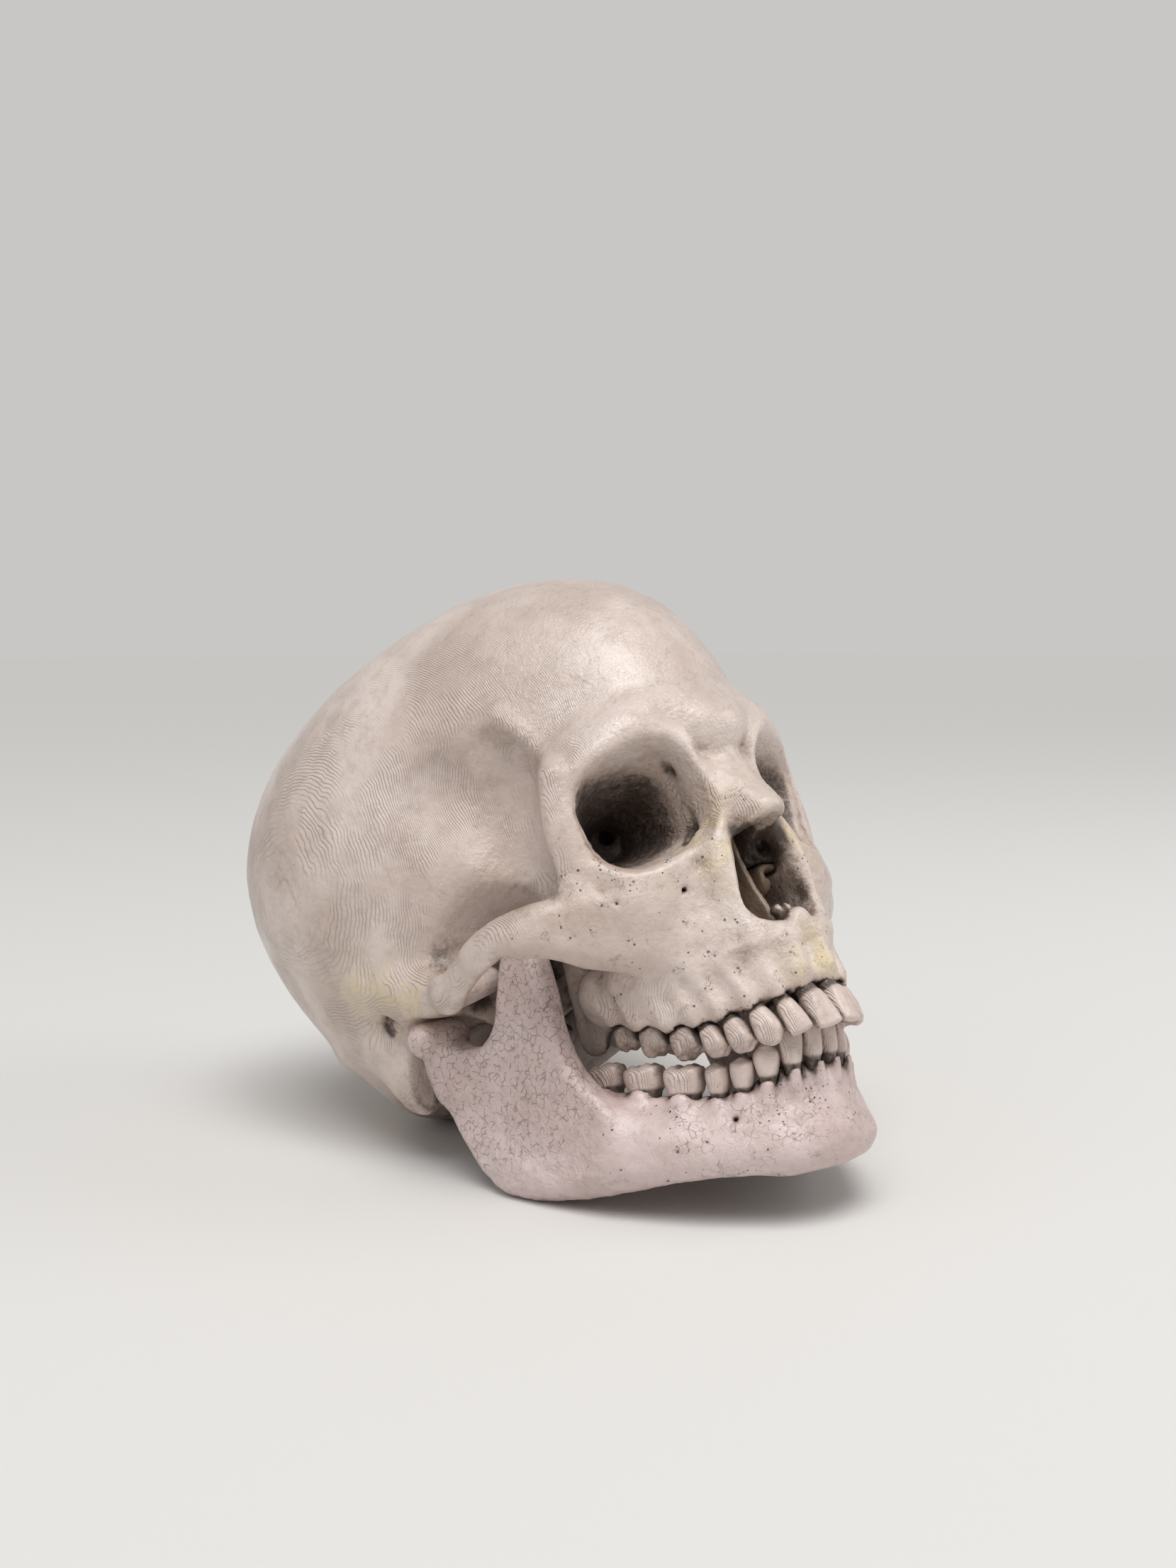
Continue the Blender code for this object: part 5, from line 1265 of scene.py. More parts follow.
# %% Small openings and ridges of the cranium
FINE_HOLE_SHARES = (
    # opening under the eye, two in the cheekbone
    (((0.262, -0.860, -0.118), (0.235, -0.720, -0.070)), 0.008, 0.012),
    (((0.452, -0.720, -0.045), (0.425, -0.620, -0.020)), 0.004, 0.006),
    (((0.425, -0.730, -0.085), (0.400, -0.620, -0.070)), 0.003, 0.006),
    # canal of the eye's nerve, and the upper and lower slits beside it
    (((0.150, -0.520, 0.185), (0.085, -0.360, 0.200)), 0.022, 0.015),
    (((0.185, -0.490, 0.110), (0.270, -0.560, 0.055), (0.325, -0.620, 0.030)), 0.014, 0.015),
    # tear duct at the inner corner
    (((0.128, -0.770, 0.070), (0.120, -0.740, -0.020)), 0.014, 0.020),
    # under the skull: oval opening, spiny opening, behind the mastoid, behind the teeth
    (((0.215, -0.130, -0.300), (0.215, -0.120, -0.150)), 0.022, 0.015),
    (((0.270, -0.075, -0.300), (0.270, -0.070, -0.160)), 0.011, 0.010),
    (((0.520, 0.420, -0.160), (0.470, 0.360, -0.120)), 0.009, 0.010),
    (((0.000, -0.790, -0.420), (0.000, -0.760, -0.280)), 0.018, 0.020),
    (((0.165, -0.400, -0.380), (0.165, -0.390, -0.270)), 0.014, 0.015),
)
FINE_FORM_SHARES = (
    # spine and small knob on the sill of the nose, spine behind the palate
    ((0.000, -0.895, -0.238), (0.030, 0.040, 0.026), (0, 0, 0), 0.030),
    ((0.018, -0.862, -0.205), (0.019, 0.020, 0.019), (0, 0, 0), 0.012),
    ((0.000, -0.330, -0.285), (0.030, 0.045, 0.020), (0, 0, 0), 0.030),
    # varnish and resin that close the ear's canal, and the thin wall beside the nose
    ((0.530, 0.142, -0.113), (0.075, 0.048, 0.048), (0, 0, 0), 0.020),
    ((0.055, -0.745, 0.240), (0.052, 0.060, 0.060), (0, 0, 0), 0.020),
    # knob at the back of the head
    ((0.000, 0.900, -0.020), (0.045, 0.030, 0.030), (0, 0, 0), 0.040),
)
FINE_RIDGE_SHARES = (
    # path, how wide, how far out; a minus presses in
    (((0.145, -0.800, 0.060), (0.150, -0.770, -0.010)), 0.012, 0.008),
    (((0.375, -0.665, -0.150), (0.430, -0.640, -0.145), (0.470, -0.605, -0.130)), 0.018, 0.020),
    (((0.250, -0.770, -0.240), (0.262, -0.800, -0.180), (0.240, -0.800, -0.120)), 0.040, -0.020),
    (((0.000, 0.930, 0.020), (0.000, 0.800, -0.220), (0.000, 0.560, -0.330), (0.000, 0.360, -0.300)),
     0.016, 0.010),
    (((0.020, 0.720, -0.270), (0.180, 0.660, -0.290), (0.330, 0.520, -0.280)), 0.022, 0.010),
    (((0.020, -0.920, 0.420), (0.015, -0.930, 0.560), (0.010, -0.890, 0.720)), 0.018, -0.006),
    (((0.000, -0.760, -0.300), (0.000, -0.400, -0.290)), 0.010, 0.006),
)
print(len(FINE_HOLE_SHARES), "small openings and", len(FINE_RIDGE_SHARES), "fine ridges")

# %% Roots, sockets, ridges and holes
SOCKET_GAP = 0.00025
ROOT_RISE = 0.0011
ROOT_BAR_SHARE = 0.34
ROOT_BAR_PLACE_SHARE = 0.30
ROOT_BAR_STEPS = ((0.0015, 0.0004), (0.0060, 0.0005), (0.0120, -0.0010))
ROOT_BAR_STRETCH = (0.9, 1.0, 0.6)
FOLD_WIDTH_SHARE = 0.30
FOLD_PLACE_SHARE = 0.75
FOLD_OVER_ROOT = (0.0030, 0.0120)
FOLD_BETWEEN_ROOTS = (0.0010, 0.0100)


def swell_over_roots(bone, teeth):
    """A bar laid over each root, from the gum line towards the root's tip."""
    for tooth in teeth:
        if tooth.neck[0] < 0:
            continue
        size = ROOT_BAR_SHARE * tooth.width
        foot = tooth.neck + tooth.out * (ROOT_BAR_PLACE_SHARE * tooth.depth)
        path = [foot - tooth.up * rise + tooth.out * out for rise, out in ROOT_BAR_STEPS]
        bone.join(Rod(path, tuple(size * part for part in ROOT_BAR_STRETCH)), length(EDGE_BLEND_SHARE) / 2)


def fold_between_roots(bone, teeth):
    """The gum pressed out over each root and in between two of them."""
    for tooth in teeth:
        if tooth.neck[0] < 0:
            continue
        size = FOLD_WIDTH_SHARE * tooth.width
        face = tooth.neck + tooth.out * (FOLD_PLACE_SHARE * tooth.depth)
        bone.ridge([face - tooth.up * rise for rise in FOLD_OVER_ROOT], size, ROOT_RISE)
        face = face + tooth.row * (tooth.width / 2)
        bone.ridge([face - tooth.up * rise for rise in FOLD_BETWEEN_ROOTS], size, -ROOT_RISE)


def cut_sockets(bone, teeth):
    """A socket for each tooth of the half that the block holds."""
    for tooth in teeth:
        if tooth.neck[0] > 0:
            bone.cut(Peg(tooth, SOCKET_GAP), length(CRISP_BLEND_SHARE) / 2)


def add_ridges(bone, table):
    """Presses every line of a table out of the bone, or into it."""
    for path, size, amount in table:
        bone.ridge(length(path), length(size), length(amount))


def cut_holes(bone, table):
    """Drills every small opening of a table."""
    for path, radius, blend in table:
        bone.cut(Rod(length(path), length(radius)), length(blend))


print("sockets", 1000 * SOCKET_GAP, "mm wider than the teeth all round")

# %% The cranium's block
CRANIUM_STEP = 0.0010
cranium_block = cranium_bone(CRANIUM_STEP)
swell_over_roots(cranium_block, upper_teeth)
fold_between_roots(cranium_block, upper_teeth)
add_ridges(cranium_block, FINE_RIDGE_SHARES)
add_forms(cranium_block, FINE_FORM_SHARES)
cut_holes(cranium_block, FINE_HOLE_SHARES)
cut_sockets(cranium_block, upper_teeth)
print("cranium block", cranium_block.d.shape)

# %% The jaw's block
JAW_STEP = 0.0008
JAW_RIDGE_SHARES = (
    # the slanting line outside, the line of the floor of the mouth inside, the chin,
    # and where the chewing muscle holds on to the angle of the jaw
    (((0.440, -0.250, -0.380), (0.405, -0.330, -0.530), (0.340, -0.430, -0.620), (0.270, -0.560, -0.680)),
     0.026, 0.012),
    (((0.330, -0.260, -0.520), (0.285, -0.400, -0.600), (0.200, -0.560, -0.690)), 0.020, 0.010),
    (((0.000, -0.800, -0.680), (0.000, -0.790, -0.780)), 0.020, 0.008),
    (((0.060, -0.800, -0.670), (0.140, -0.760, -0.690)), 0.030, -0.010),
    (((0.510, -0.060, -0.560), (0.500, -0.150, -0.640)), 0.020, 0.010),
    (((0.500, 0.010, -0.480), (0.495, -0.080, -0.600)), 0.018, 0.009),
)
JAW_HOLE_SHARES = (
    # the chin's opening on each side, and the nerve's way in behind
    (((0.250, -0.700, -0.690), (0.200, -0.620, -0.700)), 0.007, 0.012),
    (((0.380, -0.130, -0.430), (0.420, -0.160, -0.470)), 0.016, 0.018),
    (((0.020, -0.700, -0.720), (0.010, -0.730, -0.730)), 0.008, 0.010),
)
jaw_block = jaw_bone(JAW_STEP)
swell_over_roots(jaw_block, lower_teeth)
add_ridges(jaw_block, JAW_RIDGE_SHARES)
cut_holes(jaw_block, JAW_HOLE_SHARES)
cut_sockets(jaw_block, lower_teeth)
print("jaw block", jaw_block.d.shape)

# %% [markdown]
# ## The little bones of the nose
#
# A thin upright plate parts the nose in two, and on each side wall hangs a little
# scroll. They are shaped as distances too: the plate from its outline, the scroll
# from bars laid side by side. The cranium gets the same shapes as grooves.

# %% Septum and conchae
SEPTUM_OUTLINE_SHARES = (
    (-0.800, -0.258), (-0.420, -0.265), (-0.400, -0.160), (-0.440, 0.080),
    (-0.500, 0.190), (-0.620, 0.225), (-0.750, 0.190), (-0.790, -0.060),
)
SEPTUM_THICKNESS = 0.0022
CONCHA_THICKNESS = 0.0020
CONCHA_PROFILE_SHARES = (
    (0.140, -0.060), (0.090, -0.052), (0.062, -0.080), (0.062, -0.130), (0.080, -0.150),
)
CONCHA_STATION_SHARES = ((-0.780, 0.50), (-0.680, 1.00), (-0.560, 1.00), (-0.470, 0.60))
NOSE_STEP = 0.0005


def scroll_bars(grow):
    """The scroll of the left side as bars laid side by side along the nose."""
    line = length(smooth_path(CONCHA_PROFILE_SHARES, steps=4))
    anchor = line[0].copy()
    bars = []
    for i in range(len(line)):
        path = []
        for y, size in CONCHA_STATION_SHARES:
            x, z = anchor + (line[i] - anchor) * np.array([1.0, size])
            path.append((x, length(y), z))
        bars.append(Rod(smooth_path(path, steps=2), CONCHA_THICKNESS / 2 + grow))
    return bars


def septum_plate(grow):
    """The upright plate in the middle of the nose."""
    outline = length(SEPTUM_OUTLINE_SHARES)
    return Plate(outline, (0, 0, 0), SEPTUM_THICKNESS / 2 + grow, SEPTUM_THICKNESS / 3)


scroll_block = Bone(length((0.0, -0.84, -0.22)), length((0.22, -0.42, 0.02)), NOSE_STEP)
for bar in scroll_bars(0):
    scroll_block.join(bar, length(CRISP_BLEND_SHARE) / 2)
septum_block = Bone(length((0.0, -0.86, -0.32)), length((0.06, -0.34, 0.28)), NOSE_STEP)
septum_block.join(septum_plate(0), NOSE_STEP)
for bar in scroll_bars(FIT_GAP):
    cranium_block.cut(bar, length(CRISP_BLEND_SHARE) / 2)
cranium_block.cut(septum_plate(FIT_GAP), length(CRISP_BLEND_SHARE) / 2)
print("nose blocks", scroll_block.d.shape, septum_block.d.shape)

# %% [markdown]
# ## Stain, wear and painted shade, worked out from the shape
#
# The brown stain on the real model was brushed on and wiped off, so it stays
# where the cloth can't reach. The block knows those places: stepping out from the
# skin by a few millimetres should leave the bone just as far behind, and where it
# doesn't, the place is a hollow. That number is stored at each point of the mesh,
# and the finishes read it by name. The same marks also carry painted shade: every
# broad hollow, the underside at the back of the skull and the temple are darkened
# where shade falls.

# %% Places on the bone
def turned_level(vectors):
    """Directions on the table, turned back to the skull's level pose."""
    c, s = math.cos(REST_TILT), math.sin(REST_TILT)
    x, y, z = vectors.T
    return np.column_stack([x, c * y - s * z, s * y + c * z])


def level(points):
    """Points on the table, moved and turned back to the level pose."""
    return turned_level(points - np.array([0.0, REST_SHIFT, REST_RISE]))


def points_of(mesh):
    """The mesh's points as rows of x, y and z."""
    values = np.empty(3 * len(mesh.vertices), dtype=np.float32)
    mesh.vertices.foreach_get("co", values)
    return values.reshape(-1, 3).astype(float)


def normals_of(mesh):
    """The direction of the skin at each point."""
    values = np.empty(3 * len(mesh.vertices), dtype=np.float32)
    mesh.vertices.foreach_get("normal", values)
    return values.reshape(-1, 3).astype(float)


def store(mesh, name, values):
    """Keeps one number from 0 to 1 for each point, under a name."""
    layer = mesh.attributes.get(name) or mesh.attributes.new(name, "FLOAT", "POINT")
    layer.data.foreach_set("value", np.clip(values, 0, 1).astype(np.float32))


def ease(values, low, high):
    """0 below low, 1 above high and a smooth step between."""
    t = np.clip((values - low) / (high - low), 0, 1)
    return t * t * (3 - 2 * t)


def near_path(points, path, reach):
    """1 on a path or at a point, falling to 0 at about twice the reach."""
    run = np.atleast_2d(length(path))
    if len(run) == 1:
        away = np.linalg.norm(points - run[0], axis=1)
    else:
        away = Rod(run, 0).distance(*points.T)
    return np.exp(-0.5 * (away / reach) ** 2)


def hollowness(block, points, normals, distances):
    """How much of the way out from the skin is filled with bone."""
    total = 0
    for step_out in distances:
        found = block.reading(points + normals * step_out)
        total = total + np.clip(1 - found / step_out, 0, 1)
    return total / len(distances)


trial = np.array([[0.01, 0.02, 0.03]])
print("laid level and back again, a point moves by", round(float(np.abs(rest(level(trial)) - trial).max()), 9), "m")

# %% Hollows, eye sockets and nose
CREVICE_STEPS = (0.0012, 0.0024, 0.0045)
FAR_IN_STEPS = (0.008, 0.014, 0.022)
SOCKET_LINE = ((0.245, -0.690, 0.155), (0.130, -0.430, 0.165))
SOCKET_MOUTH_LINE = ((0.255, -0.700, 0.155), (0.130, -0.430, 0.165))
SOCKET_MIDDLE = (0.20, -0.58, 0.16)
SOCKET_REACH, SOCKET_MOUTH_REACH, NOSE_REACH = 0.017, 0.023, 0.014
NOSE_LINES = (
    ((0.000, -0.780, 0.020), (0.000, -0.420, -0.060)),
    ((0.000, -0.790, -0.180), (0.000, -0.450, -0.180)),
)
# Painted shade at the temple, stored in the deep mark.
TEMPLE_SHADE_LINE = ((0.47, -0.52, 0.26), (0.46, -0.50, 0.06))
TEMPLE_SHADE_REACH = 0.010
# The least weight of a broad hollow's darkening: painted shade wherever no stain is held.
PAINTED_HOLLOW_SHADE = 0.36


def mark_hollows(mesh, block, points, normals, folded, folded_normals):
    """Stores narrow hollows, deep stained places with painted shade, and the rough casting marks."""
    store(mesh, "crevice", hollowness(block, points, normals, CREVICE_STEPS))
    _, y, z = (folded / BASE_LENGTH).T
    socket = near_path(folded, SOCKET_LINE, SOCKET_REACH)
    nose = np.maximum.reduce([near_path(folded, line, NOSE_REACH) for line in NOSE_LINES])
    base = 0.75 * ease(-z, 0.10, 0.26) * ease(y, -0.62, -0.45)
    held = np.maximum.reduce([1.35 * socket, 1.8 * nose, base])
    far_in = hollowness(block, points, normals, FAR_IN_STEPS)

    # Only a wall that faces the socket's middle belongs to the socket.
    inward = length(SOCKET_MIDDLE) - folded
    inward = inward / np.linalg.norm(inward, axis=1, keepdims=True)
    socket_walls = ease(np.sum(inward * folded_normals, axis=1), 0.10, 0.45)
    mouth = near_path(folded, SOCKET_MOUTH_LINE, SOCKET_MOUTH_REACH)
    inner = np.maximum(socket, mouth) * ease(y, -0.80, -0.64) * socket_walls
    # The deep mark: real stain in the eye sockets and the nose, and painted shade in every broad hollow, under the
    # back of the skull and at the temple.
    store(mesh, "deep", np.maximum.reduce([
        far_in * np.maximum(held, PAINTED_HOLLOW_SHADE),
        0.88 * inner,
        0.80 * nose * ease(y, -0.84, -0.74),
        0.42 * ease(-z, 0.12, 0.36) * ease(y, -0.12, 0.20),
        0.36 * near_path(folded, TEMPLE_SHADE_LINE, TEMPLE_SHADE_REACH),
    ]))
    base = 0.6 * ease(-z, 0.20, 0.30) * ease(y, -0.50, -0.30)
    store(mesh, "rough", np.maximum.reduce([1.3 * inner, nose, base]))


print("narrow hollows are felt for out to", round(1000 * max(CREVICE_STEPS), 1), "mm")

# %% Gum line and sockets
GUM_FADE = (0.0035, 0.0080)
LIP_SEARCH = 0.012
LIP_REACH = 0.0011


def mark_sockets(mesh, points, teeth):
    """Stores the gum line, and the lip of every tooth's socket."""
    gap = np.min([np.linalg.norm(points - tooth.neck, axis=1) for tooth in teeth], axis=0)
    store(mesh, "gum", 1 - ease(gap, *GUM_FADE))
    lip = np.zeros(len(points))
    close = np.where(gap < LIP_SEARCH)[0]
    for tooth in teeth:
        away = np.abs(Peg(tooth, 0.0).distance(*points[close].T))
        lip[close] = np.maximum(lip[close], np.exp(-(away / LIP_REACH) ** 2))
    store(mesh, "lip", lip)


print("the gum line fades", round(1000 * GUM_FADE[1], 1), "mm from a tooth's neck")

# %% Measure both bones
JAW_LAYERED = 0.12
CRANIUM_TRIANGLES, JAW_TRIANGLES = 180000, 150000


def measure(piece, block, teeth):
    """Stores every measured place and returns the points folded to one side."""
    mesh = piece.data
    points, normals = level(points_of(mesh)), turned_level(normals_of(mesh))
    fold = np.where(points[:, :1] < 0, (-1, 1, 1), (1, 1, 1))
    folded = points * fold
    mark_hollows(mesh, block, points, normals, folded, normals * fold)
    mark_sockets(mesh, points, teeth)
    _, y, z = (folded / BASE_LENGTH).T
    layered = JAW_LAYERED if teeth is lower_teeth else 1 - 0.85 * ease(-y, 0.60, 0.72) * ease(-z, -0.05, 0.05)
    store(mesh, "sideways", layered * ease(np.abs(normals[:, 0]), 0.55, 0.93))
    return folded


cranium = plain_object("cast_cranium", *largest_piece(*cranium_block.surface()))
cranium = thin(cranium, CRANIUM_TRIANGLES)
jaw = thin(plain_object("cast_jaw", *largest_piece(*jaw_block.surface())), JAW_TRIANGLES)
for piece in (cranium, jaw):
    piece.data.vertices.foreach_set("co", rest(points_of(piece.data)).astype(np.float32).ravel())
    piece.data.update()
print("bones of", len(cranium.data.vertices), "and", len(jaw.data.vertices), "points")

# %% [markdown]
# ## Hand-worked relief, with Geometry Nodes
#
# Cast bone is never as smooth as a formula. A Geometry Nodes tree moves each
# point of the skin along its own normal by slow noise for the gentle swells that
# a light picks out, and by finer noise for the grain. Its sizes are named inputs,
# so the same tree serves both bones and the little bones with other numbers.

# %% The relief tree
RELIEF_LAYERS = (
    # height, size, detail
    ("Swell Height", "Swell Size", 1.5),
    ("Grain Height", "Grain Size", 3.0),
    ("Rough Height", "Rough Size", 4.0),
)


def relief_tree():
    """Moves points along their normals by three noises, but not at the gum."""
    tree = bpy.data.node_groups.new("bone_relief", "GeometryNodeTree")
    face = tree.interface
    face.new_socket("Geometry", in_out="OUTPUT", socket_type="NodeSocketGeometry")
    face.new_socket("Geometry", in_out="INPUT", socket_type="NodeSocketGeometry")
    for name in (*(name for row in RELIEF_LAYERS for name in row[:2]), "Seed"):
        face.new_socket(name, in_out="INPUT", socket_type="NodeSocketFloat")
    face.new_socket("Finish", in_out="INPUT", socket_type="NodeSocketMaterial")
    given = add(tree, "NodeGroupInput").outputs
    place = add(tree, "GeometryNodeInputPosition")
    normal = add(tree, "GeometryNodeInputNormal").outputs[0]
    rough = add(tree, "GeometryNodeInputNamedAttribute", {"Name": "rough"}, data_type="FLOAT").outputs[0]
    gum = add(tree, "GeometryNodeInputNamedAttribute", {"Name": "gum"}, data_type="FLOAT").outputs[0]
    shift = 0.0
    for height, size, detail in RELIEF_LAYERS:
        scale = add(tree, "ShaderNodeMath", {0: 1.0, 1: given[size]}, operation="DIVIDE")
        noise = add(tree, "ShaderNodeTexNoise", {"Vector": place, "W": given["Seed"], "Scale": scale,
                                                 "Detail": detail}, noise_dimensions="4D")
        even = add(tree, "ShaderNodeMath", {0: noise, 1: 0.5}, operation="SUBTRACT")
        part = add(tree, "ShaderNodeMath", {0: even, 1: given[height]}, operation="MULTIPLY")
        if height == "Rough Height":
            part = add(tree, "ShaderNodeMath", {0: part, 1: rough}, operation="MULTIPLY")
        shift = add(tree, "ShaderNodeMath", {0: part, 1: shift}, operation="ADD")
    free = add(tree, "ShaderNodeMath", {0: 1.0, 1: gum}, operation="SUBTRACT")
    shift = add(tree, "ShaderNodeMath", {0: shift, 1: free}, operation="MULTIPLY")
    offset = add(tree, "ShaderNodeVectorMath", {0: normal, "Scale": shift}, operation="SCALE")
    moved = add(tree, "GeometryNodeSetPosition", {"Geometry": given["Geometry"], "Offset": offset})
    plain = add(tree, "GeometryNodeRealizeInstances", {"Geometry": moved})
    painted = add(tree, "GeometryNodeSetMaterial", {"Geometry": plain, "Material": given["Finish"]})
    add(tree, "NodeGroupOutput", {"Geometry": painted})
    return tree


RELIEF = relief_tree()


def work_relief(piece, finish, **sizes):
    """Sets the tree's named inputs on a modifier and makes the result plain."""
    worked = piece.modifiers.new("relief", "NODES")
    worked.node_group = RELIEF
    for item in RELIEF.interface.items_tree:
        if item.in_out == "INPUT" and item.name == "Finish":
            worked[item.identifier] = finish
        elif item.in_out == "INPUT" and item.name in sizes:
            worked[item.identifier] = float(sizes[item.name])
    settled(piece)
    piece.data.shade_smooth()
    print(piece.name, len(piece.data.polygons), "faces after relief")


# %% [markdown]
# ## The finishes
#
# The skull is polyurethane resin, cast in a mould, brushed with brown stain,
# wiped, and varnished by hand. Resin and varnish both bend light as most plastics
# do, with an index near 1.5. The master was printed in thin layers lying on its
# side, which left faint contour lines on every face that looks sideways. On the jaw
# the varnish has crackled.

# %% Where the finishes change
YELLOW_PLACES = (
    # place or path, how far it reaches
    ((0.16, -0.86, 0.02), 0.008),
    ((0.02, -0.93, -0.36), 0.006),
    (((0.60, -0.02, -0.08), (0.62, 0.18, 0.02)), 0.006),
)
CRACKLE_PLACES = (
    # path, how far it reaches, how strong
    (((0.53, 0.05, -0.20), (0.50, -0.06, -0.42)), 0.016, 1.0),
    (((0.50, -0.25, -0.05), (0.46, -0.28, -0.45)), 0.010, 1.0),
    (((0.10, -0.78, -0.74), (0.30, -0.60, -0.70)), 0.012, 0.5),
)
LEAST_PITTED = 0.30


def place_marks(piece, folded):
    """Stores the places of crackle, pits, thick varnish and yellow varnish."""
    _, y, z = (folded / BASE_LENGTH).T
    front = 1 - ease(y, -0.62, -0.30)
    store(piece.data, "yellow", sum(near_path(folded, path, reach) for path, reach in YELLOW_PLACES))
    store(piece.data, "crackle", sum(much * near_path(folded, path, reach) for path, reach, much in CRACKLE_PLACES))
    pitted = front * ease(-z, -0.30, 0.10) + LEAST_PITTED * (2 if piece is jaw else 1)
    store(piece.data, "pitted", pitted)
    store(piece.data, "glossy", ease(z, 0.10, 0.45) * front)


print(len(YELLOW_PLACES), "yellowed places and", len(CRACKLE_PLACES), "crackled ones")

# %% Marks and noises that every layer may use
MARKS = ("crevice", "deep", "gum", "lip", "yellow", "pitted", "crackle", "sideways", "rough", "glossy")
NOISES = {
    # size in mm, detail, roughness, distortion
    "drift": (34, 2.0, 0.55, 0.0),
    "mottle": (5, 5.0, 0.65, 0.0),
    "yellowing": (7, 3.0, 0.55, 0.0),
    "brush": (2.6, 6.0, 0.72, 0.6),
    "pit patches": (9, 3.0, 0.70, 0.0),
    "pit edge": (0.6, 3.0, 0.70, 0.0),
    "stroke": (1.7, 3.0, 0.60, 1.4),
    "stroke patches": (4.5, 3.0, 0.55, 0.0),
    "crack breaks": (1.9, 3.0, 0.55, 0.0),
    "crack patches": (6, 2.0, 0.55, 0.0),
    "layer wobble": (9, 2.0, 0.55, 0.0),
    "layer patches": (16, 2.0, 0.55, 0.0),
    "peel": (1.1, 2.5, 0.55, 0.0),
    "lumps": (3.0, 4.0, 0.62, 0.0),
    "dullness": (6, 3.0, 0.55, 0.0),
}
PATCHES = {
    # the noise where a patch starts, and where it is full
    "drift": (0.30, 0.70),
    "mottle": (0.42, 0.75),
    "yellowing": (0.35, 0.60),
    "pit patches": (0.34, 0.64),
    "stroke patches": (0.54, 0.70),
    "crack breaks": (0.40, 0.60),
    "layer patches": (0.36, 0.60),
}
CENTRED = ("brush", "pit edge", "stroke", "crack patches", "dullness")


def marks_and_noises(tree, place):
    """The places stored on the mesh and the noises, each under its name."""
    mark = {name: add(tree, "ShaderNodeAttribute", attribute_name=name).outputs["Fac"] for name in MARKS}
    noise = {}
    for name, (size_mm, detail, rough, warp) in NOISES.items():
        noise[name] = add(tree, "ShaderNodeTexNoise", {"Vector": place, "Scale": 1000.0 / size_mm, "Detail": detail,
                                                       "Roughness": rough, "Distortion": warp})
    for name, (low, high) in PATCHES.items():
        noise[name] = add(tree, "ShaderNodeMapRange", {"Value": noise[name], "From Min": low, "From Max": high},
                          interpolation_type="SMOOTHSTEP")
    for name in CENTRED:
        noise[name] = add(tree, "ShaderNodeMath", {0: noise[name], 1: 0.5}, operation="SUBTRACT")
    return mark, noise


print(len(MARKS), "marks and", len(NOISES), "noises")

# %% [markdown]
# ### The layers of a finish
#
# Each layer below is one small function. The ground's answers with a tint, and each
# of the others with how much of it is here. The stain, which also carries painted
# shade, asks the hollows, the pits are the cells of a Voronoi texture that chance
# has picked, and the cracks are the edges of another.

# %% Ground tint, and stain with painted shade
MOTTLE_TINT, MOTTLE_MOST = "#A9968A", 0.35
YELLOW_TINT, YELLOW_MOST = "#D9C79C", 0.75
# The deep mark brings painted shade into the stain, besides the real stain in the sockets and the nose.
STAIN_AND_SHADE_HOLDS = (("crevice", 1.15), ("deep", 1.15), ("gum", 0.30), ("lip", 0.50))
BRUSH_STRENGTH = 0.95
STAIN_AND_SHADE_FADE = (0.16, 1.10)


def ground_tint(tree, mark, noise, pale, mid):
    """Slow drifts of tint over the whole bone, a finer mottle, yellow patches."""
    mottle = add(tree, "ShaderNodeMath", {0: noise["mottle"], 1: MOTTLE_MOST}, operation="MULTIPLY")
    yellow = add(tree, "ShaderNodeMath", {0: mark["yellow"], 1: noise["yellowing"]}, operation="MULTIPLY")
    yellow = add(tree, "ShaderNodeMath", {0: yellow, 1: YELLOW_MOST}, operation="MULTIPLY")
    tint = light_of(pale)
    for amount, colour in ((noise["drift"], mid), (mottle, MOTTLE_TINT), (yellow, YELLOW_TINT)):
        tint = add(tree, "ShaderNodeMix", {0: amount, 6: tint, 7: light_of(colour)}, data_type="RGBA")
    return tint


def held_stain_and_shade(tree, mark, noise):
    """Stain held by hollows and by the gum line, with painted shade in broad hollows, streaked by a coarse brush."""
    held = 0.0
    for name, weight in STAIN_AND_SHADE_HOLDS:
        held = add(tree, "ShaderNodeMath", {0: mark[name], 1: weight, 2: held}, operation="MULTIPLY_ADD")
    held = add(tree, "ShaderNodeMath", {0: noise["brush"], 1: BRUSH_STRENGTH, 2: held}, operation="MULTIPLY_ADD")
    return add(tree, "ShaderNodeMapRange", {"Value": held, "From Min": STAIN_AND_SHADE_FADE[0], "From Max": STAIN_AND_SHADE_FADE[1]},
               interpolation_type="SMOOTHSTEP")


print("stain is held by", ", ".join(name for name, _ in STAIN_AND_SHADE_HOLDS))

# %% Pits and scratches
PIT_CELL_MM = 1.35
PIT_CHANCE = 0.80
PIT_POWER = 1.3
PIT_SIZE = 0.44
PIT_RAGGED = 0.34
PIT_EDGE = (0.60, 1.20)
SMALLEST_PIT = 0.001
STROKE_EDGE = (0.004, 0.016)
STROKE_MOST = 0.85


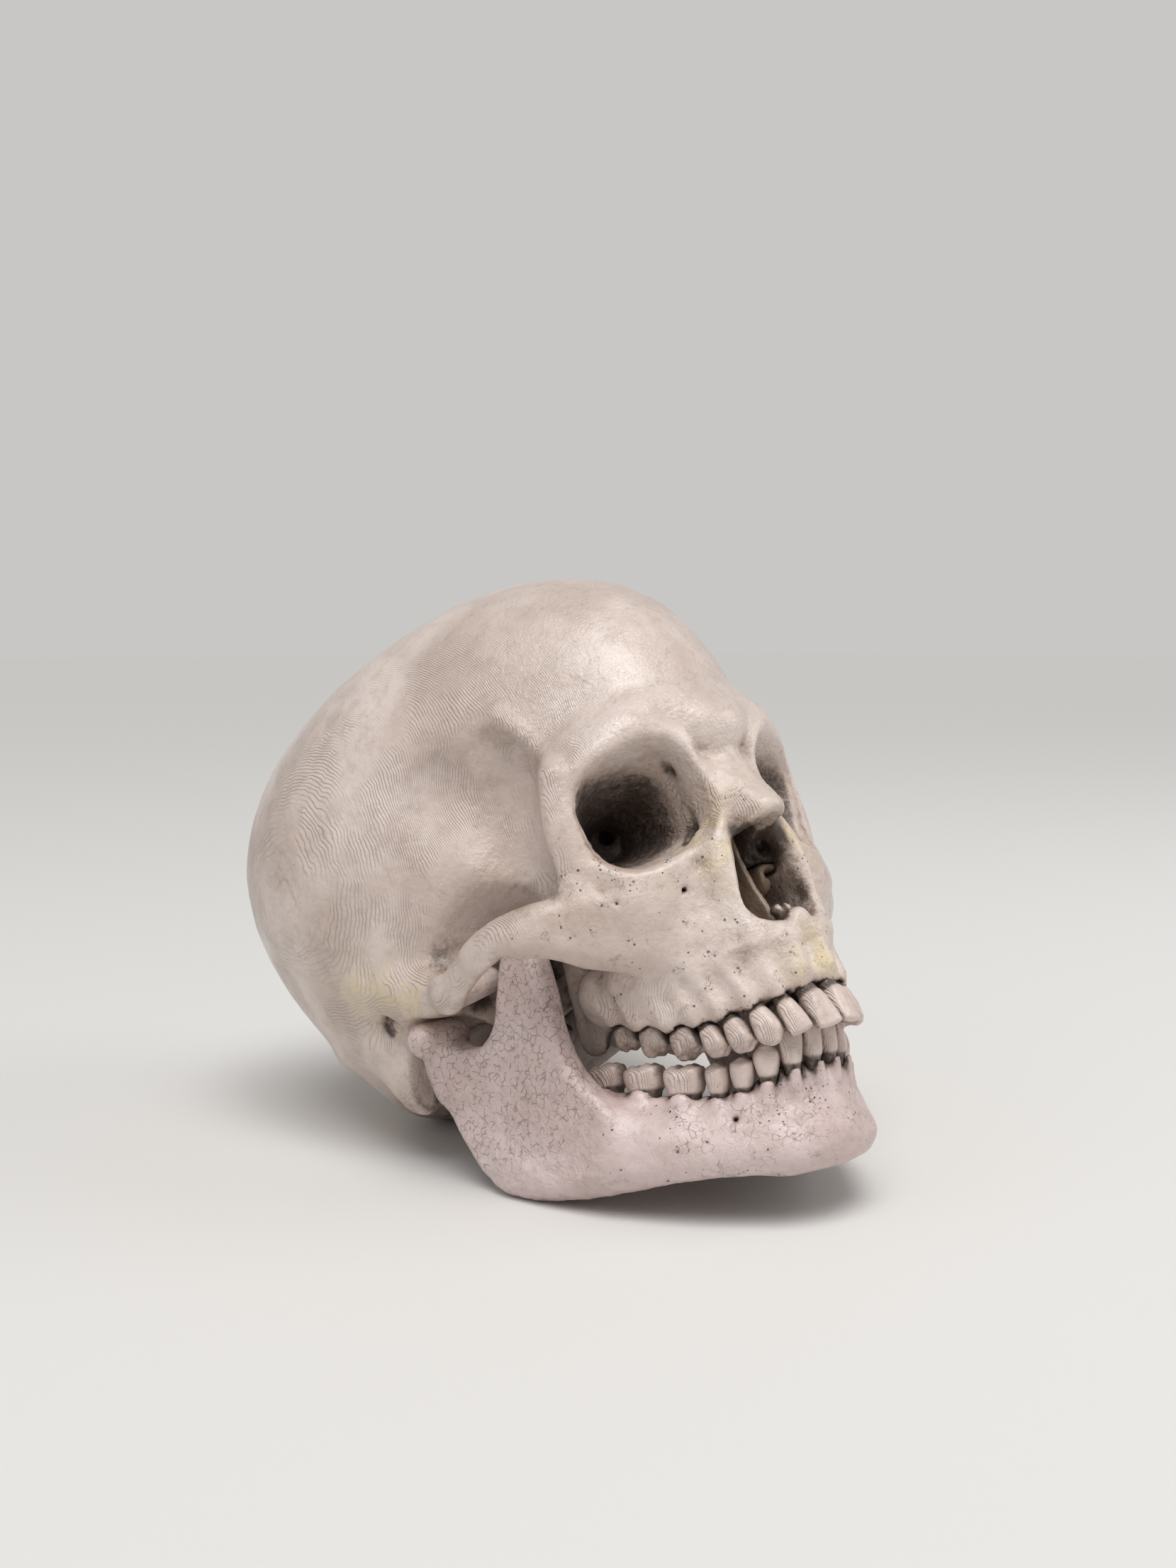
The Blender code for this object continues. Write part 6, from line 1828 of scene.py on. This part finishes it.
def pits(tree, place, mark, noise):
    """Air bubbles of a quarter of a millimetre that the stain has filled."""
    bubble = add(tree, "ShaderNodeTexVoronoi", {"Vector": place, "Scale": 1000.0 / PIT_CELL_MM}).outputs
    chance = add(tree, "ShaderNodeSeparateColor", {0: bubble["Color"]})
    size = mark["pitted"]
    for operation, other in (("MULTIPLY", noise["pit patches"]), ("MULTIPLY", PIT_CHANCE), ("SUBTRACT", chance),
                             ("MAXIMUM", 0.0), ("POWER", PIT_POWER), ("MULTIPLY", PIT_SIZE),
                             ("MAXIMUM", SMALLEST_PIT)):
        size = add(tree, "ShaderNodeMath", {0: size, 1: other}, operation=operation)
    ragged = add(tree, "ShaderNodeMath", {0: noise["pit edge"], 1: PIT_RAGGED, 2: bubble["Distance"]},
                 operation="MULTIPLY_ADD")
    ratio = add(tree, "ShaderNodeMath", {0: ragged, 1: size}, operation="DIVIDE")
    return add(tree, "ShaderNodeMapRange", {"Value": ratio, "From Min": PIT_EDGE[0], "From Max": PIT_EDGE[1],
                                            "To Min": 1.0, "To Max": 0.0}, interpolation_type="SMOOTHSTEP")


def scratches(tree, mark, noise):
    """Short dark strokes where the brush left stain in a tool mark."""
    line = add(tree, "ShaderNodeMath", {0: noise["stroke"]}, operation="ABSOLUTE")
    stroke = add(tree, "ShaderNodeMapRange", {"Value": line, "From Min": STROKE_EDGE[0], "From Max": STROKE_EDGE[1],
                                              "To Min": 1.0, "To Max": 0.0}, interpolation_type="SMOOTHSTEP")
    for other in (noise["stroke patches"], mark["pitted"], STROKE_MOST):
        stroke = add(tree, "ShaderNodeMath", {0: stroke, 1: other}, operation="MULTIPLY")
    return stroke


print("at most one pit in a cell of", PIT_CELL_MM, "mm")

# %% Crackle and contour lines
CRACK_CELL_MM = 2.4
CRACK_BEND_MM = 4.0
CRACK_BEND = 0.0022
CRACK_EDGE = (0.012, 0.070)
CRACK_PLACE_NOISE = 0.8
CRACK_PLACE_FADE = (0.25, 0.65)
LAYER_MM = 0.42
LAYER_WOBBLE = 0.0016
LAYER_STEEP_SHARE = 0.22
LAYER_GROOVE = 0.35


def cracks(tree, place, mark, noise, crackled):
    """A net of fine cracks, with cells of about two millimetres."""
    bent = add(tree, "ShaderNodeTexNoise", {"Vector": place, "Scale": 1000.0 / CRACK_BEND_MM, "Detail": 3.0})
    bent = add(tree, "ShaderNodeVectorMath", {0: bent.outputs["Color"], "Scale": CRACK_BEND}, operation="SCALE")
    bent = add(tree, "ShaderNodeVectorMath", {0: place, 1: bent}, operation="ADD")
    cell = add(tree, "ShaderNodeTexVoronoi", {"Vector": bent, "Scale": 1000.0 / CRACK_CELL_MM},
               feature="DISTANCE_TO_EDGE").outputs["Distance"]
    crack = add(tree, "ShaderNodeMapRange", {"Value": cell, "From Min": CRACK_EDGE[0], "From Max": CRACK_EDGE[1],
                                             "To Min": 1.0, "To Max": 0.0}, interpolation_type="SMOOTHSTEP")
    where = add(tree, "ShaderNodeMath", {0: noise["crack patches"], 1: CRACK_PLACE_NOISE, 2: mark["crackle"]},
                operation="MULTIPLY_ADD")
    where = add(tree, "ShaderNodeMapRange", {"Value": where, "From Min": CRACK_PLACE_FADE[0],
                                             "From Max": CRACK_PLACE_FADE[1]}, interpolation_type="SMOOTHSTEP")
    for other in (noise["crack breaks"], where, crackled):
        crack = add(tree, "ShaderNodeMath", {0: crack, 1: other}, operation="MULTIPLY")
    return crack


def contour_lines(tree, place, mark, noise):
    """The master's printed layers, stacked from ear to ear: rise and groove."""
    across = add(tree, "ShaderNodeSeparateXYZ", {0: place}).outputs["X"]
    layer = add(tree, "ShaderNodeMath", {0: noise["layer wobble"], 1: LAYER_WOBBLE, 2: across},
                operation="MULTIPLY_ADD")
    for operation, other in (("DIVIDE", LAYER_MM / 1000.0), ("FRACT", 0.0)):
        layer = add(tree, "ShaderNodeMath", {0: layer, 1: other}, operation=operation)
    rising = add(tree, "ShaderNodeMath", {0: layer, 1: LAYER_STEEP_SHARE}, operation="DIVIDE")
    falling = add(tree, "ShaderNodeMath", {0: 1.0, 1: layer}, operation="SUBTRACT")
    falling = add(tree, "ShaderNodeMath", {0: falling, 1: 1 - LAYER_STEEP_SHARE}, operation="DIVIDE")
    ridge = add(tree, "ShaderNodeMath", {0: rising, 1: falling}, operation="MINIMUM")
    groove = add(tree, "ShaderNodeMapRange", {"Value": ridge, "From Min": LAYER_GROOVE, "From Max": 0.0},
                 interpolation_type="SMOOTHSTEP")
    shown = add(tree, "ShaderNodeMath", {0: mark["sideways"], 1: noise["layer patches"]}, operation="MULTIPLY")
    return [add(tree, "ShaderNodeMath", {0: layer, 1: shown}, operation="MULTIPLY") for layer in (ridge, groove)]


print("cracks", CRACK_CELL_MM, "mm apart and contour lines", LAYER_MM, "mm apart")

# %% The whole finish
VARNISH_INDEX = 1.5
WASH_FADE = (0.25, 0.95)
LAYER_TINTS = {"pit": "#2E231B", "stroke": "#4A3A2E", "crack": "#6B5445", "groove": "#9C8979"}
LAYER_MOST = {"pit": 0.80, "stroke": 1.0, "crack": 0.55, "groove": 0.30}
LAYER_HEIGHTS = {"pit": -0.00045, "stroke": -0.00018, "crack": -0.00016, "ridge": 0.00030}
VARNISH_HEIGHTS = (
    # noise, least height, mark, how much higher there
    ("peel", 0.00013, "glossy", 0.00034),
    ("lumps", 0.00050, "rough", 0.0011),
)
BUMP_STRENGTH = 0.9
NOISE_DULL, STAIN_DULL, GLOSSY_DULL = 0.22, 0.22, -0.12


def resin(name, pale, mid, wash_and_shade, stain_and_shade, crackled, stain_and_shade_strength, roughness):
    """One finish: ground, stain with painted shade and layers for its tint, then the varnish."""
    finish = bpy.data.materials.new(name)
    finish.use_nodes = True
    tree = finish.node_tree
    tree.nodes.clear()
    place = add(tree, "ShaderNodeTexCoord").outputs["Object"]
    mark, noise = marks_and_noises(tree, place)
    stain_and_painted_shade = held_stain_and_shade(tree, mark, noise)
    amounts = {"pit": pits(tree, place, mark, noise), "stroke": scratches(tree, mark, noise),
               "crack": cracks(tree, place, mark, noise, crackled)}
    amounts["ridge"], amounts["groove"] = contour_lines(tree, place, mark, noise)

    # Real stain and painted shade alike run from the light wash tint to the dark stain tint as they grow.
    depth = add(tree, "ShaderNodeMapRange", {"Value": stain_and_painted_shade, "From Min": WASH_FADE[0], "From Max": WASH_FADE[1]},
                interpolation_type="SMOOTHSTEP")
    washed_and_shaded = add(tree, "ShaderNodeMix", {0: depth, 6: light_of(wash_and_shade), 7: light_of(stain_and_shade)}, data_type="RGBA")
    tint = ground_tint(tree, mark, noise, pale, mid)
    # The stain layer paints real stain in hollows and at the gum, and painted shade in broad hollows, under the
    # skull, at the temple and on the upper back teeth.
    for amount, most, colour in ((stain_and_painted_shade, stain_and_shade_strength, washed_and_shaded),
                                 *((amounts[n], LAYER_MOST[n], light_of(c)) for n, c in LAYER_TINTS.items())):
        amount = add(tree, "ShaderNodeMath", {0: amount, 1: most}, operation="MULTIPLY")
        tint = add(tree, "ShaderNodeMix", {0: amount, 6: tint, 7: colour}, data_type="RGBA")

    # The skin's height: an orange-peel varnish, wrinkled more where it is thick.
    height = 0.0
    for texture, least, place_name, more in VARNISH_HEIGHTS:
        size = add(tree, "ShaderNodeMath", {0: mark[place_name], 1: more, 2: least}, operation="MULTIPLY_ADD")
        height = add(tree, "ShaderNodeMath", {0: noise[texture], 1: size, 2: height}, operation="MULTIPLY_ADD")
    for layer, rise in LAYER_HEIGHTS.items():
        height = add(tree, "ShaderNodeMath", {0: amounts[layer], 1: rise, 2: height}, operation="MULTIPLY_ADD")
    bump = add(tree, "ShaderNodeBump", {"Strength": BUMP_STRENGTH, "Distance": 1.0, "Height": height})

    dull = roughness
    for value, weight in ((noise["dullness"], NOISE_DULL), (stain_and_painted_shade, STAIN_DULL), (mark["glossy"], GLOSSY_DULL)):
        dull = add(tree, "ShaderNodeMath", {0: value, 1: weight, 2: dull}, operation="MULTIPLY_ADD")
    shader = add(tree, "ShaderNodeBsdfPrincipled", {"Base Color": tint, "Roughness": dull, "Metallic": 0.0,
                                                    "IOR": VARNISH_INDEX, "Coat Weight": 0.30,
                                                    "Coat Roughness": 0.20, "Normal": bump})
    add(tree, "ShaderNodeOutputMaterial", {"Surface": shader})
    return finish


print("layers with a tint of their own:", ", ".join(LAYER_TINTS))

# %% The four finishes
# name, pale and mid tint, light and dark tint of the stain and its painted shade, crackle, strength of the stain and
# shade, roughness
varnished_bone = resin("varnished_cast_resin", "#DECFC7", "#C5B3A9", "#9A816F", "#3B2C22", 0.35, 0.95, 0.37)
crackled_bone = resin("crackled_cast_resin", "#DBC9C7", "#C8B2AF", "#A0877E", "#46362D", 1.0, 0.88, 0.38)
stained_bone = resin("stained_cast_resin", "#8F7A68", "#6E5A49", "#54433A", "#241B15", 0.2, 0.95, 0.46)
worn_enamel = resin("worn_varnished_enamel", "#DECDC5", "#C8B4AB", "#8A7567", "#35281F", 0.45, 0.95, 0.34)
print("four finishes of", len(varnished_bone.node_tree.nodes), "nodes each")

# %% [markdown]
# ## Dressing the bones
#
# The measured places go on the mesh before the relief, because the relief leaves
# the gum alone and asks the mesh where that is.

# %% Cranium and jaw
RELIEFS = {
    "Swell Height": 0.0010, "Swell Size": 0.011, "Grain Height": 0.00035, "Grain Size": 0.0026,
    "Rough Height": 0.0020, "Rough Size": 0.0028,
}
place_marks(cranium, measure(cranium, cranium_block, upper_teeth))
place_marks(jaw, measure(jaw, jaw_block, lower_teeth))
work_relief(cranium, varnished_bone, Seed=3.0, **RELIEFS)
work_relief(jaw, crackled_bone, Seed=8.0, **RELIEFS)

# %% Inside the solids' own boxes
SOFT_EDGE = 0.0006


def keep_inside(piece, node):
    """Presses the last fraction of a millimetre back into the solid's own box."""
    low, high = (np.array(corner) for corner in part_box(node))
    points = points_of(piece.data)
    over = points - (high - SOFT_EDGE)
    points = np.where(over > 0, high - SOFT_EDGE * np.exp(-over / SOFT_EDGE), points)
    under = (low + SOFT_EDGE) - points
    points = np.where(under > 0, low + SOFT_EDGE * np.exp(-under / SOFT_EDGE), points)
    piece.data.vertices.foreach_set("co", points.astype(np.float32).ravel())
    piece.data.update()


for piece, node, body, slot in ((cranium, "cranium", "cranium", "varnished_bone"),
                                (jaw, "mandible", "mandible", "jaw_bone")):
    keep_inside(piece, node)
    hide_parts(node)
    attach(piece, body)
    print(piece.name, "stands for", node)

# %% [markdown]
# ## The teeth
#
# Each tooth is a stack of rings from the tip of its root to its biting edge, then
# smaller and smaller rings across the top, raised into cusps. The numbers of a
# kind are shared and only width, depth and height differ. Thirty-two separate
# pieces keep the order of the real model, where each tooth sits in its own socket.

# %% Numbers of a tooth's wear and painted shade
TWIST_MOST = math.radians(6)
TWIST_SEED = 11
CROWN_WIDER = 0.0004
CROWN_WIDER_SHARE = 0.4
STAIN_BETWEEN, BETWEEN_FADE = 0.55, (0.74, 1.0)
STAIN_AT_NECK, NECK_FADE = 0.75, (0.0002, 0.0020)
# Painted shade on the teeth: the upper row darkens towards the back, the molars most, while the lower row stays
# almost clear.
UPPER_PAINTED_SHADE = {"molar": 0.55, "premolar": 0.34, "canine": 0.10, "incisor": 0.10}
LOWER_PAINTED_SHADE = 0.06
TOOTH_PITTED, TOOTH_CRACKLED = 0.55, 0.42
TOOTH_SIDEWAYS_FADE = (0.45, 0.85)
print("teeth twisted by up to", round(math.degrees(TWIST_MOST), 1), "degrees")

# %% Thirty-two teeth
chance = np.random.default_rng(TWIST_SEED)
no_way = rest(np.zeros(3))[0]
for body, teeth in (("cranium", upper_teeth), ("mandible", lower_teeth)):
    for tooth in teeth:
        tooth.twist = float(chance.uniform(-TWIST_MOST, TWIST_MOST))
        points, faces = tooth.skin()
        points = rest(points)
        piece = plain_object("cast_" + tooth.name, points, facing_out(points, faces))
        count = len(piece.data.vertices)
        neck, up, across = (rest(vector)[0] for vector in (tooth.neck, tooth.up, tooth.row))
        rise = (points - neck) @ (up - no_way)
        side = (points - neck) @ (across - no_way) / (tooth.width / 2)
        wider = CROWN_WIDER / 2 * side * ease(rise, 0.0, CROWN_WIDER_SHARE * tooth.height)
        points = points + np.outer(wider, across - no_way)
        piece.data.vertices.foreach_set("co", points.astype(np.float32).ravel())
        between = STAIN_BETWEEN * ease(np.abs(side), *BETWEEN_FADE)
        # Painted shade for this tooth, kept in the deep mark.
        tooth_painted_shade = UPPER_PAINTED_SHADE[tooth.kind] if body == "cranium" else LOWER_PAINTED_SHADE
        store(piece.data, "crevice", between + STAIN_AT_NECK * (1 - ease(rise, *NECK_FADE)))
        store(piece.data, "sideways", ease(np.abs(normals_of(piece.data)[:, 0]), *TOOTH_SIDEWAYS_FADE))
        for name, value in (("deep", tooth_painted_shade), ("pitted", TOOTH_PITTED), ("crackle", TOOTH_CRACKLED)):
            store(piece.data, name, np.full(len(points), value))
        piece.data.materials.append(worn_enamel)
        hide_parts(tooth.name)
        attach(piece, body)
print(len(upper_teeth) + len(lower_teeth), "teeth of", count, "points each")

# %% The little bones of the nose
NOSE_RELIEFS = {"Swell Height": 0.0010, "Swell Size": 0.0050, "Grain Height": 0.0005, "Grain Size": 0.0014}


def nose_piece(name, points, faces, node):
    """A plate or scroll set in its place, worked over, kept inside its node's box and fastened to the cranium."""
    piece = plain_object(name, rest(points), facing_out(points, faces))
    store(piece.data, "gum", np.zeros(len(points)))
    work_relief(piece, stained_bone, Seed=5.0, **NOSE_RELIEFS)
    keep_inside(piece, node)
    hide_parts(node)
    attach(piece, "cranium")


nose_piece("cast_septum", *largest_piece(*septum_block.surface()), "nasal_septum")
points, faces = scroll_block.surface()
for side, name in ((-1, "right"), (1, "left")):
    keep = points[:, 0] * side > 0
    index = np.cumsum(keep) - 1
    half = [tuple(int(index[v]) for v in face) for face in faces if keep[list(face)].all()]
    nose_piece(f"cast_{name}_concha", points[keep], half, f"{name}_nasal_concha")


print("the nose's three little bones placed")

# %% Finish
print("frame", [round(v, 5) for v in cad_low + cad_high])
